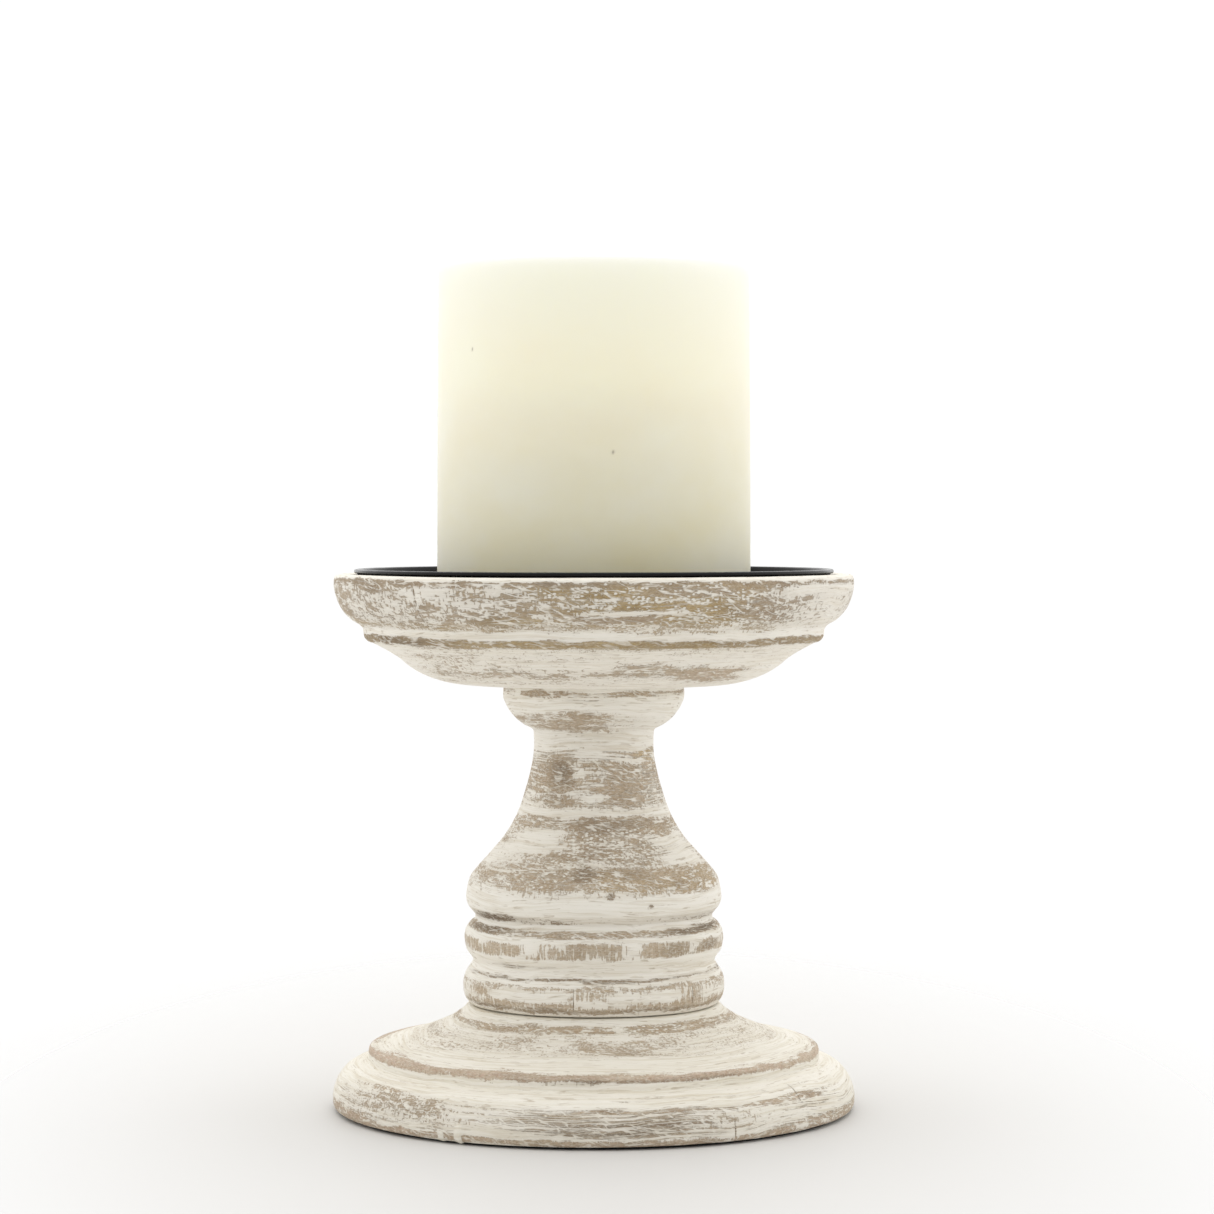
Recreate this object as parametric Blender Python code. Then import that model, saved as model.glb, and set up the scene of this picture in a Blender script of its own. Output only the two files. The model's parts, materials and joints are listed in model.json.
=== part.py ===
"""Turned wooden candlestick with a loose drip pan and a flameless pillar candle.

Three turned and painted pieces of wood (base, stem, dish) are joined by round tenons and a screw at each
end. A black steel drip pan lies in the dish, and the candle stands in the pan. The candle is a hollow wax
shell round a plastic battery housing, with a twist-off battery door and a slide switch underneath.

Every outline below is a list of (radius, height) in millimetres, height measured from the surface that the
candlestick stands on. The object is made in metres, standing on z = 0 round the Z axis.
"""

import math

import bmesh
import bpy
from mathutils import Matrix, Vector

MM = 0.001
SEGMENTS = 40  # sides of a large turned piece
SMALL_SEGMENTS = 12  # sides of a screw or a post, and steps in a turn of a spring
FIT = 0.3  # gap between two pieces that touch on the real object

# Wood
BASE_UNDERSIDE = 1.1
BASE_RADIUS = 63.6
BASE_STEP_RADIUS = 54.9
BASE_TOP = 25.5
STEM_BOTTOM = BASE_TOP + FIT
STEM_TOP = 103.2
STEM_FOOT_RADIUS = 30.2
BEAD_RADIUS = 31.9
NECK_RADIUS = 14.7
COLLAR_RADIUS = 22.0
DISH_BOTTOM = STEM_TOP + FIT
DISH_RADIUS = 63.2
RIM_TOP = 130.1
RECESS_RADIUS = 58.8
RECESS_FLOOR = 125.8
TENON_RADIUS = 9.8
SOCKET_RADIUS = TENON_RADIUS + FIT
LOWER_SOCKET_FLOOR = 11.0
UPPER_SOCKET_CEILING = 115.6

# Felt pad under the base
PAD_RADIUS = 61.3
PAD_THICKNESS = 0.9

# Screws
SCREW_HEAD_RADIUS = 4.6
SCREW_HEAD_HEIGHT = 2.8
SCREW_SHANK_RADIUS = 1.6
SCREW_THREAD_RADIUS = 2.3
SCREW_HOLE_RADIUS = 2.6
SCREW_LENGTH = 36.0
THREAD_RIDGES = 6
WASHER_RADIUS = 6.2
WASHER_THICKNESS = 1.2
COUNTERBORE_RADIUS = 7.0
LOWER_COUNTERBORE_TOP = 6.4
UPPER_COUNTERBORE_BOTTOM = 120.6

# Drip pan
SHEET = 0.7
PAN_UNDERSIDE = RECESS_FLOOR + FIT
PAN_FLOOR = PAN_UNDERSIDE + SHEET
PAN_LIP_TOP = 131.3
PAN_LIP_RADIUS = 58.3
PAN_FLOOR_RADIUS = 54.6

# Candle
CANDLE_BOTTOM = PAN_FLOOR + 0.2
CANDLE_TOP = 205.2
CANDLE_BOTTOM_RADIUS = 38.1
CANDLE_TOP_RADIUS = 37.75
WELL_RADIUS = 32.0
WELL_FLOOR = 173.8
CAVITY_RADIUS = 33.3
CAVITY_CEILING = 157.2
WICK_HOLE_RADIUS = 5.4

# Battery housing, seen from outside a plastic drum that fills the cavity in the wax
HOUSING_RADIUS = 33.0
HOUSING_WALL = 1.8
HOUSING_BOTTOM = 127.3
HOUSING_TOP = 154.7
HOUSING_FLOOR = 129.1
PARTITION_BOTTOM = 142.0
PARTITION_TOP = 143.6
BAY_HALF_LENGTH = 24.2
BAY_WALL = 1.2
BAY_HALF_WIDTH = 12.0
BOSS_CIRCLE = 27.0
BOSS_RADIUS = 3.0
BOSS_ANGLES = (90, 210, 330)
CAP_BOTTOM = HOUSING_TOP + 0.2
CAP_TOP = 156.7
TUBE_RADIUS = 5.0
TUBE_BORE = 3.6
TUBE_TOP = 176.0

# Battery door: a disc with two lugs behind the edge of its opening
DOOR_RADIUS = 25.3
DOOR_OPENING_RADIUS = 25.6
DOOR_BOTTOM = 127.4
DOOR_TOP = 129.2
LUG_REACH = 27.0
LUG_HALF_WIDTH = 3.0
LUG_BOTTOM = HOUSING_FLOOR + FIT
LUG_TOP = 130.4
NOTCH_ANGLE = 20
COIN_SLOT = (18.0, 2.4, 1.0)

# Switch
SWITCH_CIRCLE = 28.6
SWITCH_SLOT = (3.6, 7.6)
KNOB_STEM = (3.0, 4.4)
KNOB_FLANGE = (3.8, 6.4)
KNOB_TOP = 131.2
SWITCH_BODY = (4.0, 10.0, 5.0)
SWITCH_TRAVEL = 3.0

# Batteries and contacts
BATTERY_RADIUS = 5.25
BATTERY_LENGTH = 44.5
BATTERY_NUB = (1.9, 0.8)
BATTERY_SPACING = 11.2
BATTERY_HEIGHT = 135.9
BATTERY_OFFSET = 1.25
CONTACT_PLATE = (0.35, 8.0, 8.0)
SPRING_WIRE = 0.35
SPRING_TURNS = 2.5
SPRING_RADII = (3.6, 1.8)

# Circuit board, lamp and flame-shaped lens
BOARD = (24.0, 16.0, 1.2)
BOARD_BOTTOM = 146.5
POST_RADIUS = 2.0
LAMP_RADIUS = 2.5
LAMP_BOTTOM = 172.0
LAMP_TOP = 180.0
LENS_BOTTOM = WELL_FLOOR + FIT
LENS_TOP = 196.0


def clear_scene():
    for leftover in list(bpy.data.objects):
        bpy.data.objects.remove(leftover, do_unlink=True)


def material(name, color, roughness=0.5, metallic=0.0, transmission=0.0):
    made = bpy.data.materials.new(name)
    made.use_nodes = True
    shader = made.node_tree.nodes["Principled BSDF"]
    shader.inputs["Base Color"].default_value = (*color, 1.0)
    shader.inputs["Roughness"].default_value = roughness
    shader.inputs["Metallic"].default_value = metallic
    shader.inputs["Transmission Weight"].default_value = transmission
    made.diffuse_color = (*color, 1.0)
    return made


def arc(start, end, bulge, steps):
    """Points after `start` up to `end` on an arc that stands `bulge` to the right of the way from one to the other."""
    chord = math.dist(start, end)
    radius = (chord**2 / 4 + bulge**2) / (2 * abs(bulge))
    half = math.asin(chord / 2 / radius)
    side = math.copysign(1, bulge)
    reach = side * (radius - abs(bulge)) / chord
    centre_r = (start[0] + end[0]) / 2 - (end[1] - start[1]) * reach
    centre_z = (start[1] + end[1]) / 2 + (end[0] - start[0]) * reach
    first = math.atan2(start[1] - centre_z, start[0] - centre_r)
    turns = [first + side * 2 * half * step / steps for step in range(1, steps + 1)]
    return [(centre_r + radius * math.cos(t), centre_z + radius * math.sin(t)) for t in turns]


def outline(*corners):
    """A list of points from corners: (r, z) is a straight line to it, (r, z, bulge, steps) an arc to it."""
    points = [corners[0]]
    for corner in corners[1:]:
        if len(corner) == 2:
            points.append(corner)
        else:
            points += arc(points[-1], corner[:2], *corner[2:])
    return points


def new_object(name, mesh_maker, look, origin=(0, 0, 0)):
    """Makes a named object from what `mesh_maker` puts in a bmesh in millimetres, with its origin at `origin`."""
    work = bmesh.new()
    mesh_maker(work)
    bmesh.ops.translate(work, vec=-Vector(origin), verts=work.verts)
    bmesh.ops.scale(work, vec=(MM, MM, MM), verts=work.verts)
    bmesh.ops.recalc_face_normals(work, faces=work.faces)
    mesh = bpy.data.meshes.new(name)
    work.to_mesh(mesh)
    work.free()
    made = bpy.data.objects.new(name, mesh)
    made.location = Vector(origin) * MM
    bpy.context.scene.collection.objects.link(made)
    if look:
        mesh.materials.append(look)
    mesh.shade_smooth()
    mesh.set_sharp_from_angle(angle=math.radians(32))
    return made


def add_turned(work, points, segments=SEGMENTS):
    """Turns an outline round the Z axis. One that starts and ends on the axis is solid, any other is a ring."""
    rings = []
    for r, z in points:
        if r == 0:
            rings.append([work.verts.new((0, 0, z))] * segments)
            continue
        angles = [2 * math.pi * k / segments for k in range(segments)]
        rings.append([work.verts.new((r * math.cos(a), r * math.sin(a), z)) for a in angles])
    if points[0][0] != 0:
        rings.append(rings[0])
    for low, high in zip(rings, rings[1:]):
        for k in range(segments):
            corners = (low[k], low[k - segments + 1], high[k - segments + 1], high[k])
            face = list(dict.fromkeys(corners))
            if len(face) > 2:
                work.faces.new(face)


def add_box(work, centre, size, turn=0):
    """A box of this size, turned by `turn` degrees round the Z axis of the object."""
    place = Matrix.Rotation(math.radians(turn), 4, "Z") @ Matrix.Translation(centre)
    bmesh.ops.create_cube(work, size=1, matrix=place @ Matrix.Diagonal((*size, 1)))


def add_cross(work, middle, reach, half_width, half_height):
    """An upright cross-shaped prism on the Z axis, centred at the height `middle`."""
    quarter = [(reach, -half_width), (reach, half_width), (half_width, half_width)]
    points = []
    for turn in range(4):
        points += quarter
        quarter = [(-y, x) for x, y in quarter]
    low, high = ([work.verts.new((*p, middle + h)) for p in points] for h in (-half_height, half_height))
    for k in range(len(points)):
        work.faces.new((low[k - 1], low[k], high[k], high[k - 1]))
    work.faces.new(low[::-1])
    work.faces.new(high)


def turned(name, points, look, origin_z=0.0, segments=SEGMENTS):
    return new_object(name, lambda work: add_turned(work, points, segments), look, (0, 0, origin_z))


def block(name, look, *boxes, origin=(0, 0, 0)):
    """One piece from boxes, each (centre, size) or (centre, size, turn)."""
    first = new_object(name, lambda work: add_box(work, *boxes[0]), look, origin)
    for extra in boxes[1:]:
        combine(first, "UNION", lambda work, extra=extra: add_box(work, *extra))
    return first


def combine(target, operation, mesh_maker):
    """Adds or cuts a helper shape with a Boolean, and keeps the helper out of renders."""
    helper = new_object(f"{target.name}_tool_{len(target.modifiers)}", mesh_maker, None)
    helper.hide_render = True
    helper.display_type = "WIRE"
    change = target.modifiers.new(helper.name, "BOOLEAN")
    change.operation = operation
    change.solver = "EXACT"
    change.object = helper


def make_base(wood):
    turned(
        "base",
        outline(
            (COUNTERBORE_RADIUS, BASE_UNDERSIDE),
            (62.6, BASE_UNDERSIDE),
            (BASE_RADIUS, 2.2, 0.3, 2),
            (63.5, 4.3),
            (61.9, 8.4, 0.25, 2),
            (57.0, 11.6, 0.6, 3),
            (BASE_STEP_RADIUS, 12.2),
            (BASE_STEP_RADIUS, 14.4),
            (54.2, 15.5, 0.25, 2),
            (39.2, 20.0, -0.4, 3),
            (32.1, 24.0, -0.3, 2),
            (STEM_FOOT_RADIUS, BASE_TOP),
            (SOCKET_RADIUS, BASE_TOP),
            (SOCKET_RADIUS, LOWER_SOCKET_FLOOR),
            (SCREW_HOLE_RADIUS, LOWER_SOCKET_FLOOR),
            (SCREW_HOLE_RADIUS, LOWER_COUNTERBORE_TOP),
            (COUNTERBORE_RADIUS, LOWER_COUNTERBORE_TOP),
        ),
        wood,
    )


def make_stem(wood):
    lower_hole = LOWER_COUNTERBORE_TOP + SCREW_LENGTH - 2
    upper_hole = UPPER_COUNTERBORE_BOTTOM - SCREW_LENGTH + 2
    turned(
        "stem",
        outline(
            (0, lower_hole),
            (SCREW_HOLE_RADIUS, lower_hole - 1),
            (SCREW_HOLE_RADIUS, LOWER_SOCKET_FLOOR + FIT),
            (TENON_RADIUS, LOWER_SOCKET_FLOOR + FIT),
            (TENON_RADIUS, STEM_BOTTOM),
            (STEM_FOOT_RADIUS, STEM_BOTTOM),
            (BEAD_RADIUS, 29.8, 0.5, 3),
            (30.4, 34.6, 0.5, 3),
            (29.4, 36.2),
            (30.0, 37.4),
            (31.5, 40.6, 0.35, 2),
            (30.2, 45.4, 0.6, 3),
            (28.9, 46.3),
            (28.9, 47.5),
            (29.6, 48.3),
            (31.1, 51.0, 0.26, 2),
            (29.9, 57.0, 0.35, 3),
            (25.0, 62.6, 0.1, 1),
            (17.0, 76.5, -1.05, 4),
            (NECK_RADIUS, 86.5, -0.2, 2),
            (NECK_RADIUS, 92.0),
            (15.2, 92.6),
            (COLLAR_RADIUS, 100.2, 1.2, 5),
            (COLLAR_RADIUS, STEM_TOP),
            (TENON_RADIUS, STEM_TOP),
            (TENON_RADIUS, UPPER_SOCKET_CEILING - FIT),
            (SCREW_HOLE_RADIUS, UPPER_SOCKET_CEILING - FIT),
            (SCREW_HOLE_RADIUS, upper_hole + 1),
            (0, upper_hole),
        ),
        wood,
    )


def make_dish(wood):
    turned(
        "dish",
        outline(
            (SOCKET_RADIUS, DISH_BOTTOM),
            (31.5, DISH_BOTTOM),
            (48.1, 110.3, 1.7, 4),
            (53.8, 113.5),
            (55.9, 115.0, 0.4, 2),
            (56.1, 116.9),
            (57.0, 117.9),
            (61.7, 122.3, 0.5, 3),
            (63.1, 126.4, 0.15, 2),
            (DISH_RADIUS, 129.0),
            (62.0, RIM_TOP, 0.35, 2),
            (RECESS_RADIUS + 0.4, RIM_TOP),
            (RECESS_RADIUS, RIM_TOP - 0.4),
            (RECESS_RADIUS, RECESS_FLOOR),
            (COUNTERBORE_RADIUS, RECESS_FLOOR),
            (COUNTERBORE_RADIUS, UPPER_COUNTERBORE_BOTTOM),
            (SCREW_HOLE_RADIUS, UPPER_COUNTERBORE_BOTTOM),
            (SCREW_HOLE_RADIUS, UPPER_SOCKET_CEILING),
            (SOCKET_RADIUS, UPPER_SOCKET_CEILING),
        ),
        wood,
    )


def make_pad(felt):
    turned("base_pad", outline((0, 0), (PAD_RADIUS, 0), (PAD_RADIUS, PAD_THICKNESS), (0, PAD_THICKNESS)), felt)


def make_screw(name, seat, upwards, look):
    """A pan-head wood screw whose head lies against `seat`, and whose point goes up or down from there."""
    way = 1 if upwards else -1
    start, pitch = 12.0, (SCREW_LENGTH - 16.0) / THREAD_RIDGES
    thread = []
    for ridge in range(THREAD_RIDGES):
        foot = start + ridge * pitch
        thread += [(SCREW_SHANK_RADIUS, foot), (SCREW_THREAD_RADIUS, foot + pitch / 2)]
    shape = [
        (0, -SCREW_HEAD_HEIGHT),
        (SCREW_HEAD_RADIUS * 0.6, -SCREW_HEAD_HEIGHT),
        (SCREW_HEAD_RADIUS, -SCREW_HEAD_HEIGHT * 0.45),
        (SCREW_HEAD_RADIUS, 0),
        (SCREW_SHANK_RADIUS + 0.5, 0),
        (SCREW_SHANK_RADIUS + 0.5, start - 1),
        *thread,
        (SCREW_SHANK_RADIUS, SCREW_LENGTH - 4),
        (0, SCREW_LENGTH - 3),
    ]
    points = [(r, seat + way * along) for r, along in shape]
    screw = turned(name, points, look, segments=SMALL_SEGMENTS)
    combine(screw, "DIFFERENCE", lambda work: add_cross(work, seat - way * SCREW_HEAD_HEIGHT, 2.3, 0.5, 1.2))


def make_washer(name, bottom, look):
    hole = SCREW_HOLE_RADIUS + 0.2
    top = bottom + WASHER_THICKNESS
    ring = outline((hole, bottom), (WASHER_RADIUS, bottom), (WASHER_RADIUS, top), (hole, top))
    turned(name, ring, look, segments=24)


def make_pan(steel):
    wall = PAN_LIP_RADIUS - 0.9
    turned(
        "drip_pan",
        outline(
            (0, PAN_UNDERSIDE),
            (PAN_FLOOR_RADIUS, PAN_UNDERSIDE),
            (wall - 0.3, PAN_UNDERSIDE + 2.4, 0.7, 3),
            (wall, PAN_LIP_TOP - 1.1),
            (PAN_LIP_RADIUS, PAN_LIP_TOP - 0.9),
            (PAN_LIP_RADIUS, PAN_LIP_TOP - 0.25),
            (PAN_LIP_RADIUS - 0.3, PAN_LIP_TOP),
            (PAN_LIP_RADIUS - 1.3, PAN_LIP_TOP),
            (wall - SHEET, PAN_LIP_TOP - 0.3),
            (wall - SHEET - 0.3, PAN_FLOOR + 2.0),
            (PAN_FLOOR_RADIUS, PAN_FLOOR, -0.6, 3),
            (0, PAN_FLOOR),
        ),
        steel,
        PAN_UNDERSIDE,
    )


def make_wax_shell(wax):
    turned(
        "wax_shell",
        outline(
            (CAVITY_RADIUS, CANDLE_BOTTOM),
            (CANDLE_BOTTOM_RADIUS - 0.6, CANDLE_BOTTOM),
            (CANDLE_BOTTOM_RADIUS, CANDLE_BOTTOM + 0.6),
            (CANDLE_TOP_RADIUS, CANDLE_TOP - 1.6),
            (CANDLE_TOP_RADIUS - 1.6, CANDLE_TOP, 0.45, 3),
            (WELL_RADIUS + 1.0, CANDLE_TOP),
            (WELL_RADIUS, CANDLE_TOP - 1.0),
            (WELL_RADIUS, WELL_FLOOR + 4),
            (WELL_RADIUS - 4, WELL_FLOOR, -1.1, 3),
            (WICK_HOLE_RADIUS, WELL_FLOOR),
            (WICK_HOLE_RADIUS, CAVITY_CEILING),
            (CAVITY_RADIUS, CAVITY_CEILING),
        ),
        wax,
        CANDLE_BOTTOM,
    )


def on_circle(radius, degrees):
    angle = math.radians(degrees)
    return radius * math.cos(angle), radius * math.sin(angle)


def add_round(work, x, y, *shape):
    """An upright turned shape at (x, y), from the points of its outline between its ends on its own axis."""
    add_turned(work, [(0, shape[0][1]), *shape, (0, shape[-1][1])], SMALL_SEGMENTS)
    bmesh.ops.translate(work, vec=(x, y, 0), verts=work.verts)


def make_housing(plastic):
    inner = HOUSING_RADIUS - HOUSING_WALL
    housing = turned(
        "battery_housing",
        outline(
            (DOOR_OPENING_RADIUS, HOUSING_BOTTOM),
            (HOUSING_RADIUS, HOUSING_BOTTOM),
            (HOUSING_RADIUS, HOUSING_TOP),
            (inner, HOUSING_TOP),
            (inner, PARTITION_TOP),
            (1.5, PARTITION_TOP),
            (1.5, PARTITION_BOTTOM),
            (inner, PARTITION_BOTTOM),
            (inner, HOUSING_FLOOR),
            (DOOR_OPENING_RADIUS, HOUSING_FLOOR),
        ),
        plastic,
        HOUSING_BOTTOM,
    )
    wall_bottom = HOUSING_FLOOR + 1.6
    wall_height = PARTITION_BOTTOM - wall_bottom + 0.5
    for end in (0, 180):
        centre = (BAY_HALF_LENGTH + BAY_WALL / 2, 0, wall_bottom + wall_height / 2)
        size = (BAY_WALL, 2 * BAY_HALF_WIDTH, wall_height)
        combine(housing, "UNION", lambda work, c=centre, s=size, e=end: add_box(work, c, s, e))
    foot, top, hole_floor = PARTITION_TOP - 0.5, HOUSING_TOP - 0.2, HOUSING_TOP - 7
    boss = ((BOSS_RADIUS, foot), (BOSS_RADIUS, top), (1.3, top), (1.3, hole_floor))
    post = ((POST_RADIUS, foot), (POST_RADIUS, BOARD_BOTTOM - 0.2))
    uprights = [(*on_circle(BOSS_CIRCLE, angle), *boss) for angle in BOSS_ANGLES]
    uprights += [(side * (BOARD[0] / 2 - 3), 0, *post) for side in (-1, 1)]
    for upright in uprights:
        combine(housing, "UNION", lambda work, u=upright: add_round(work, *u))
    notch = (LUG_REACH + 0.4 - 22, 2 * LUG_HALF_WIDTH + 0.8, 4)
    for angle in (90 - NOTCH_ANGLE, 270 - NOTCH_ANGLE):
        centre = (22 + notch[0] / 2, 0, HOUSING_BOTTOM)
        combine(housing, "DIFFERENCE", lambda work, c=centre, a=angle: add_box(work, c, notch, a))
    slot = (*SWITCH_SLOT, 4)
    combine(housing, "DIFFERENCE", lambda work: add_box(work, (SWITCH_CIRCLE, 0, HOUSING_BOTTOM), slot))


def make_cap(plastic):
    cap = turned(
        "housing_cap",
        outline(
            (TUBE_BORE, CAP_BOTTOM),
            (HOUSING_RADIUS, CAP_BOTTOM),
            (HOUSING_RADIUS, CAP_TOP),
            (TUBE_RADIUS, CAP_TOP),
            (TUBE_RADIUS, TUBE_TOP),
            (TUBE_BORE, TUBE_TOP),
        ),
        plastic,
        CAP_BOTTOM,
    )
    seat = CAP_TOP - 0.9
    hole = ((1.3, CAP_BOTTOM - 1), (1.3, seat), (2.5, seat), (2.5, CAP_TOP + 1))
    for angle in BOSS_ANGLES:
        centre = on_circle(BOSS_CIRCLE, angle)
        combine(cap, "DIFFERENCE", lambda work, c=centre: add_round(work, *c, *hole))


def make_cap_screws(steel):
    head = CAP_TOP - 0.7
    for number, angle in enumerate(BOSS_ANGLES, 1):
        x, y = on_circle(BOSS_CIRCLE, angle)

        def shape(work, x=x, y=y):
            points = [(0, head - 7), (1.0, head - 6), (1.0, head), (2.2, head), (2.2, head + 0.4), (1.2, head + 0.9)]
            add_turned(work, [*points, (0, head + 0.9)], 12)
            bmesh.ops.translate(work, vec=(x, y, 0), verts=work.verts)

        screw = new_object(f"cap_screw_{number}", shape, steel, (x, y, head))
        combine(
            screw,
            "DIFFERENCE",
            lambda work, x=x, y=y: add_box(work, (x, y, head + 0.9), (5, 0.5, 0.7)),
        )


def make_door(plastic):
    door = turned(
        "battery_door",
        outline((0, DOOR_BOTTOM), (DOOR_RADIUS, DOOR_BOTTOM), (DOOR_RADIUS, DOOR_TOP), (0, DOOR_TOP)),
        plastic,
        DOOR_BOTTOM,
    )
    for angle in (90, 270):
        foot = ((22 + 24.6) / 2, 0, (DOOR_TOP - 0.5 + LUG_TOP) / 2)
        foot_size = (24.6 - 22, 2 * LUG_HALF_WIDTH, LUG_TOP - DOOR_TOP + 0.5)
        lug = ((22.5 + LUG_REACH) / 2, 0, (LUG_BOTTOM + LUG_TOP) / 2)
        lug_size = (LUG_REACH - 22.5, 2 * LUG_HALF_WIDTH - 0.6, LUG_TOP - LUG_BOTTOM)
        combine(door, "UNION", lambda work, a=angle, c=foot, s=foot_size: add_box(work, c, s, a))
        combine(door, "UNION", lambda work, a=angle, c=lug, s=lug_size: add_box(work, c, s, a))
    width, length, depth = COIN_SLOT[0], COIN_SLOT[1], COIN_SLOT[2] * 2
    combine(door, "DIFFERENCE", lambda work: add_box(work, (0, 0, DOOR_BOTTOM), (width, length, depth)))


def make_switch(black, body):
    knob_bottom = HOUSING_BOTTOM + 0.3
    knob_rest = -SWITCH_TRAVEL / 2
    flange_bottom = HOUSING_FLOOR + FIT
    stem_centre = (SWITCH_CIRCLE, knob_rest, (knob_bottom + flange_bottom + 0.4) / 2)
    stem_size = (*KNOB_STEM, flange_bottom + 0.4 - knob_bottom)
    flange_centre = (SWITCH_CIRCLE, knob_rest, (flange_bottom + KNOB_TOP) / 2)
    flange_size = (*KNOB_FLANGE, KNOB_TOP - flange_bottom)
    knob = block(
        "switch_knob",
        black,
        (stem_centre, stem_size),
        (flange_centre, flange_size),
        origin=(SWITCH_CIRCLE, knob_rest, knob_bottom),
    )
    groove = (5, 0.6, 0.8)
    for shift in (-1.2, 0, 1.2):
        place = (SWITCH_CIRCLE, knob_rest + shift, knob_bottom)
        combine(knob, "DIFFERENCE", lambda work, p=place: add_box(work, p, groove))
    body_centre = (SWITCH_CIRCLE, 0, KNOB_TOP + FIT + SWITCH_BODY[2] / 2)
    block("switch_body", body, (body_centre, SWITCH_BODY), origin=body_centre)


def make_batteries(jacket):
    reach = BATTERY_LENGTH / 2 - BATTERY_NUB[1]
    for number, side in enumerate((1, -1), 1):
        centre = (side * BATTERY_OFFSET, side * BATTERY_SPACING / 2, BATTERY_HEIGHT)

        def shape(work, side=side, centre=centre):
            add_turned(
                work,
                outline(
                    (0, -BATTERY_LENGTH / 2),
                    (BATTERY_RADIUS - 0.5, -BATTERY_LENGTH / 2),
                    (BATTERY_RADIUS, 0.5 - BATTERY_LENGTH / 2),
                    (BATTERY_RADIUS, reach - 0.5),
                    (BATTERY_RADIUS - 0.5, reach),
                    (BATTERY_NUB[0], reach),
                    (BATTERY_NUB[0], BATTERY_LENGTH / 2),
                    (0, BATTERY_LENGTH / 2),
                ),
                24,
            )
            lay = Matrix.Rotation(math.radians(90 * side), 4, "Y")
            bmesh.ops.transform(work, matrix=Matrix.Translation(centre) @ lay, verts=work.verts)

        new_object(f"battery_{number}", shape, jacket, centre)


def add_spring(work, start, length, direction):
    """A conical wire spring along X from `start`, wide end first."""
    steps = int(SPRING_TURNS * SMALL_SEGMENTS)
    rings = []
    for step in range(steps + 1):
        part = step / steps
        angle = 2 * math.pi * SPRING_TURNS * part
        radius = SPRING_RADII[0] + (SPRING_RADII[1] - SPRING_RADII[0]) * part
        out = Vector((0, math.cos(angle), math.sin(angle)))
        centre = Vector(start) + Vector((direction * length * part, 0, 0)) + out * radius
        along = Vector((direction, 0, 0))
        turns = [2 * math.pi * k / 5 for k in range(5)]
        rings.append([work.verts.new(centre + SPRING_WIRE * (out * math.cos(t) + along * math.sin(t))) for t in turns])
    for low, high in zip(rings, rings[1:]):
        for k in range(5):
            work.faces.new((low[k], low[k - 4], high[k - 4], high[k]))
    work.faces.new(rings[0])
    work.faces.new(rings[-1])


def make_contacts(metal):
    plate_x = BAY_HALF_LENGTH - 0.15 - CONTACT_PLATE[0] / 2
    gap = BAY_HALF_LENGTH + BATTERY_OFFSET - BATTERY_LENGTH / 2
    for number, side in enumerate((1, -1), 1):
        y = side * BATTERY_SPACING / 2
        plate = (side * plate_x, y, BATTERY_HEIGHT)
        block(f"contact_plate_{number}", metal, (plate, CONTACT_PLATE), origin=plate)
        start = (-side * (BAY_HALF_LENGTH - 0.15 - SPRING_WIRE), y, BATTERY_HEIGHT)
        length = gap - 2 * SPRING_WIRE - 0.3
        new_object(
            f"contact_spring_{number}",
            lambda work, s=start, n=length, d=side: add_spring(work, s, n, d),
            metal,
            start,
        )


def make_board(green):
    centre = (0, 0, BOARD_BOTTOM + BOARD[2] / 2)
    block("circuit_board", green, (centre, BOARD), origin=centre)


def make_lamp(clear_plastic):
    flange = LAMP_BOTTOM + 1.0
    lamp = turned(
        "lamp",
        outline(
            (0, LAMP_BOTTOM),
            (LAMP_RADIUS + 0.4, LAMP_BOTTOM),
            (LAMP_RADIUS + 0.4, flange),
            (LAMP_RADIUS, flange),
            (LAMP_RADIUS, LAMP_TOP - LAMP_RADIUS),
            (0, LAMP_TOP, 0.7, 3),
        ),
        clear_plastic,
        LAMP_BOTTOM,
        SMALL_SEGMENTS,
    )
    leg_bottom = BOARD_BOTTOM + BOARD[2] + 0.2
    leg_height = LAMP_BOTTOM + 0.5 - leg_bottom
    for side in (-1.27, 1.27):
        place = (side, 0, leg_bottom + leg_height / 2)
        combine(lamp, "UNION", lambda work, p=place: add_box(work, p, (0.6, 0.6, leg_height)))


def make_lens(frosted):
    turned(
        "flame_lens",
        outline(
            (5.4, LENS_BOTTOM),
            (6.6, LENS_BOTTOM),
            (6.6, LENS_BOTTOM + 2.4),
            (5.2, LENS_TOP - 9, 1.2, 4),
            (0, LENS_TOP, -0.6, 3),
            (0, LENS_TOP - 4.5),
            (3.6, LENS_TOP - 11, 0.5, 2),
            (4.3, TUBE_TOP + 1.2),
            (5.4, TUBE_TOP + 0.4),
        ),
        frosted,
        LENS_BOTTOM,
        24,
    )


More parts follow.
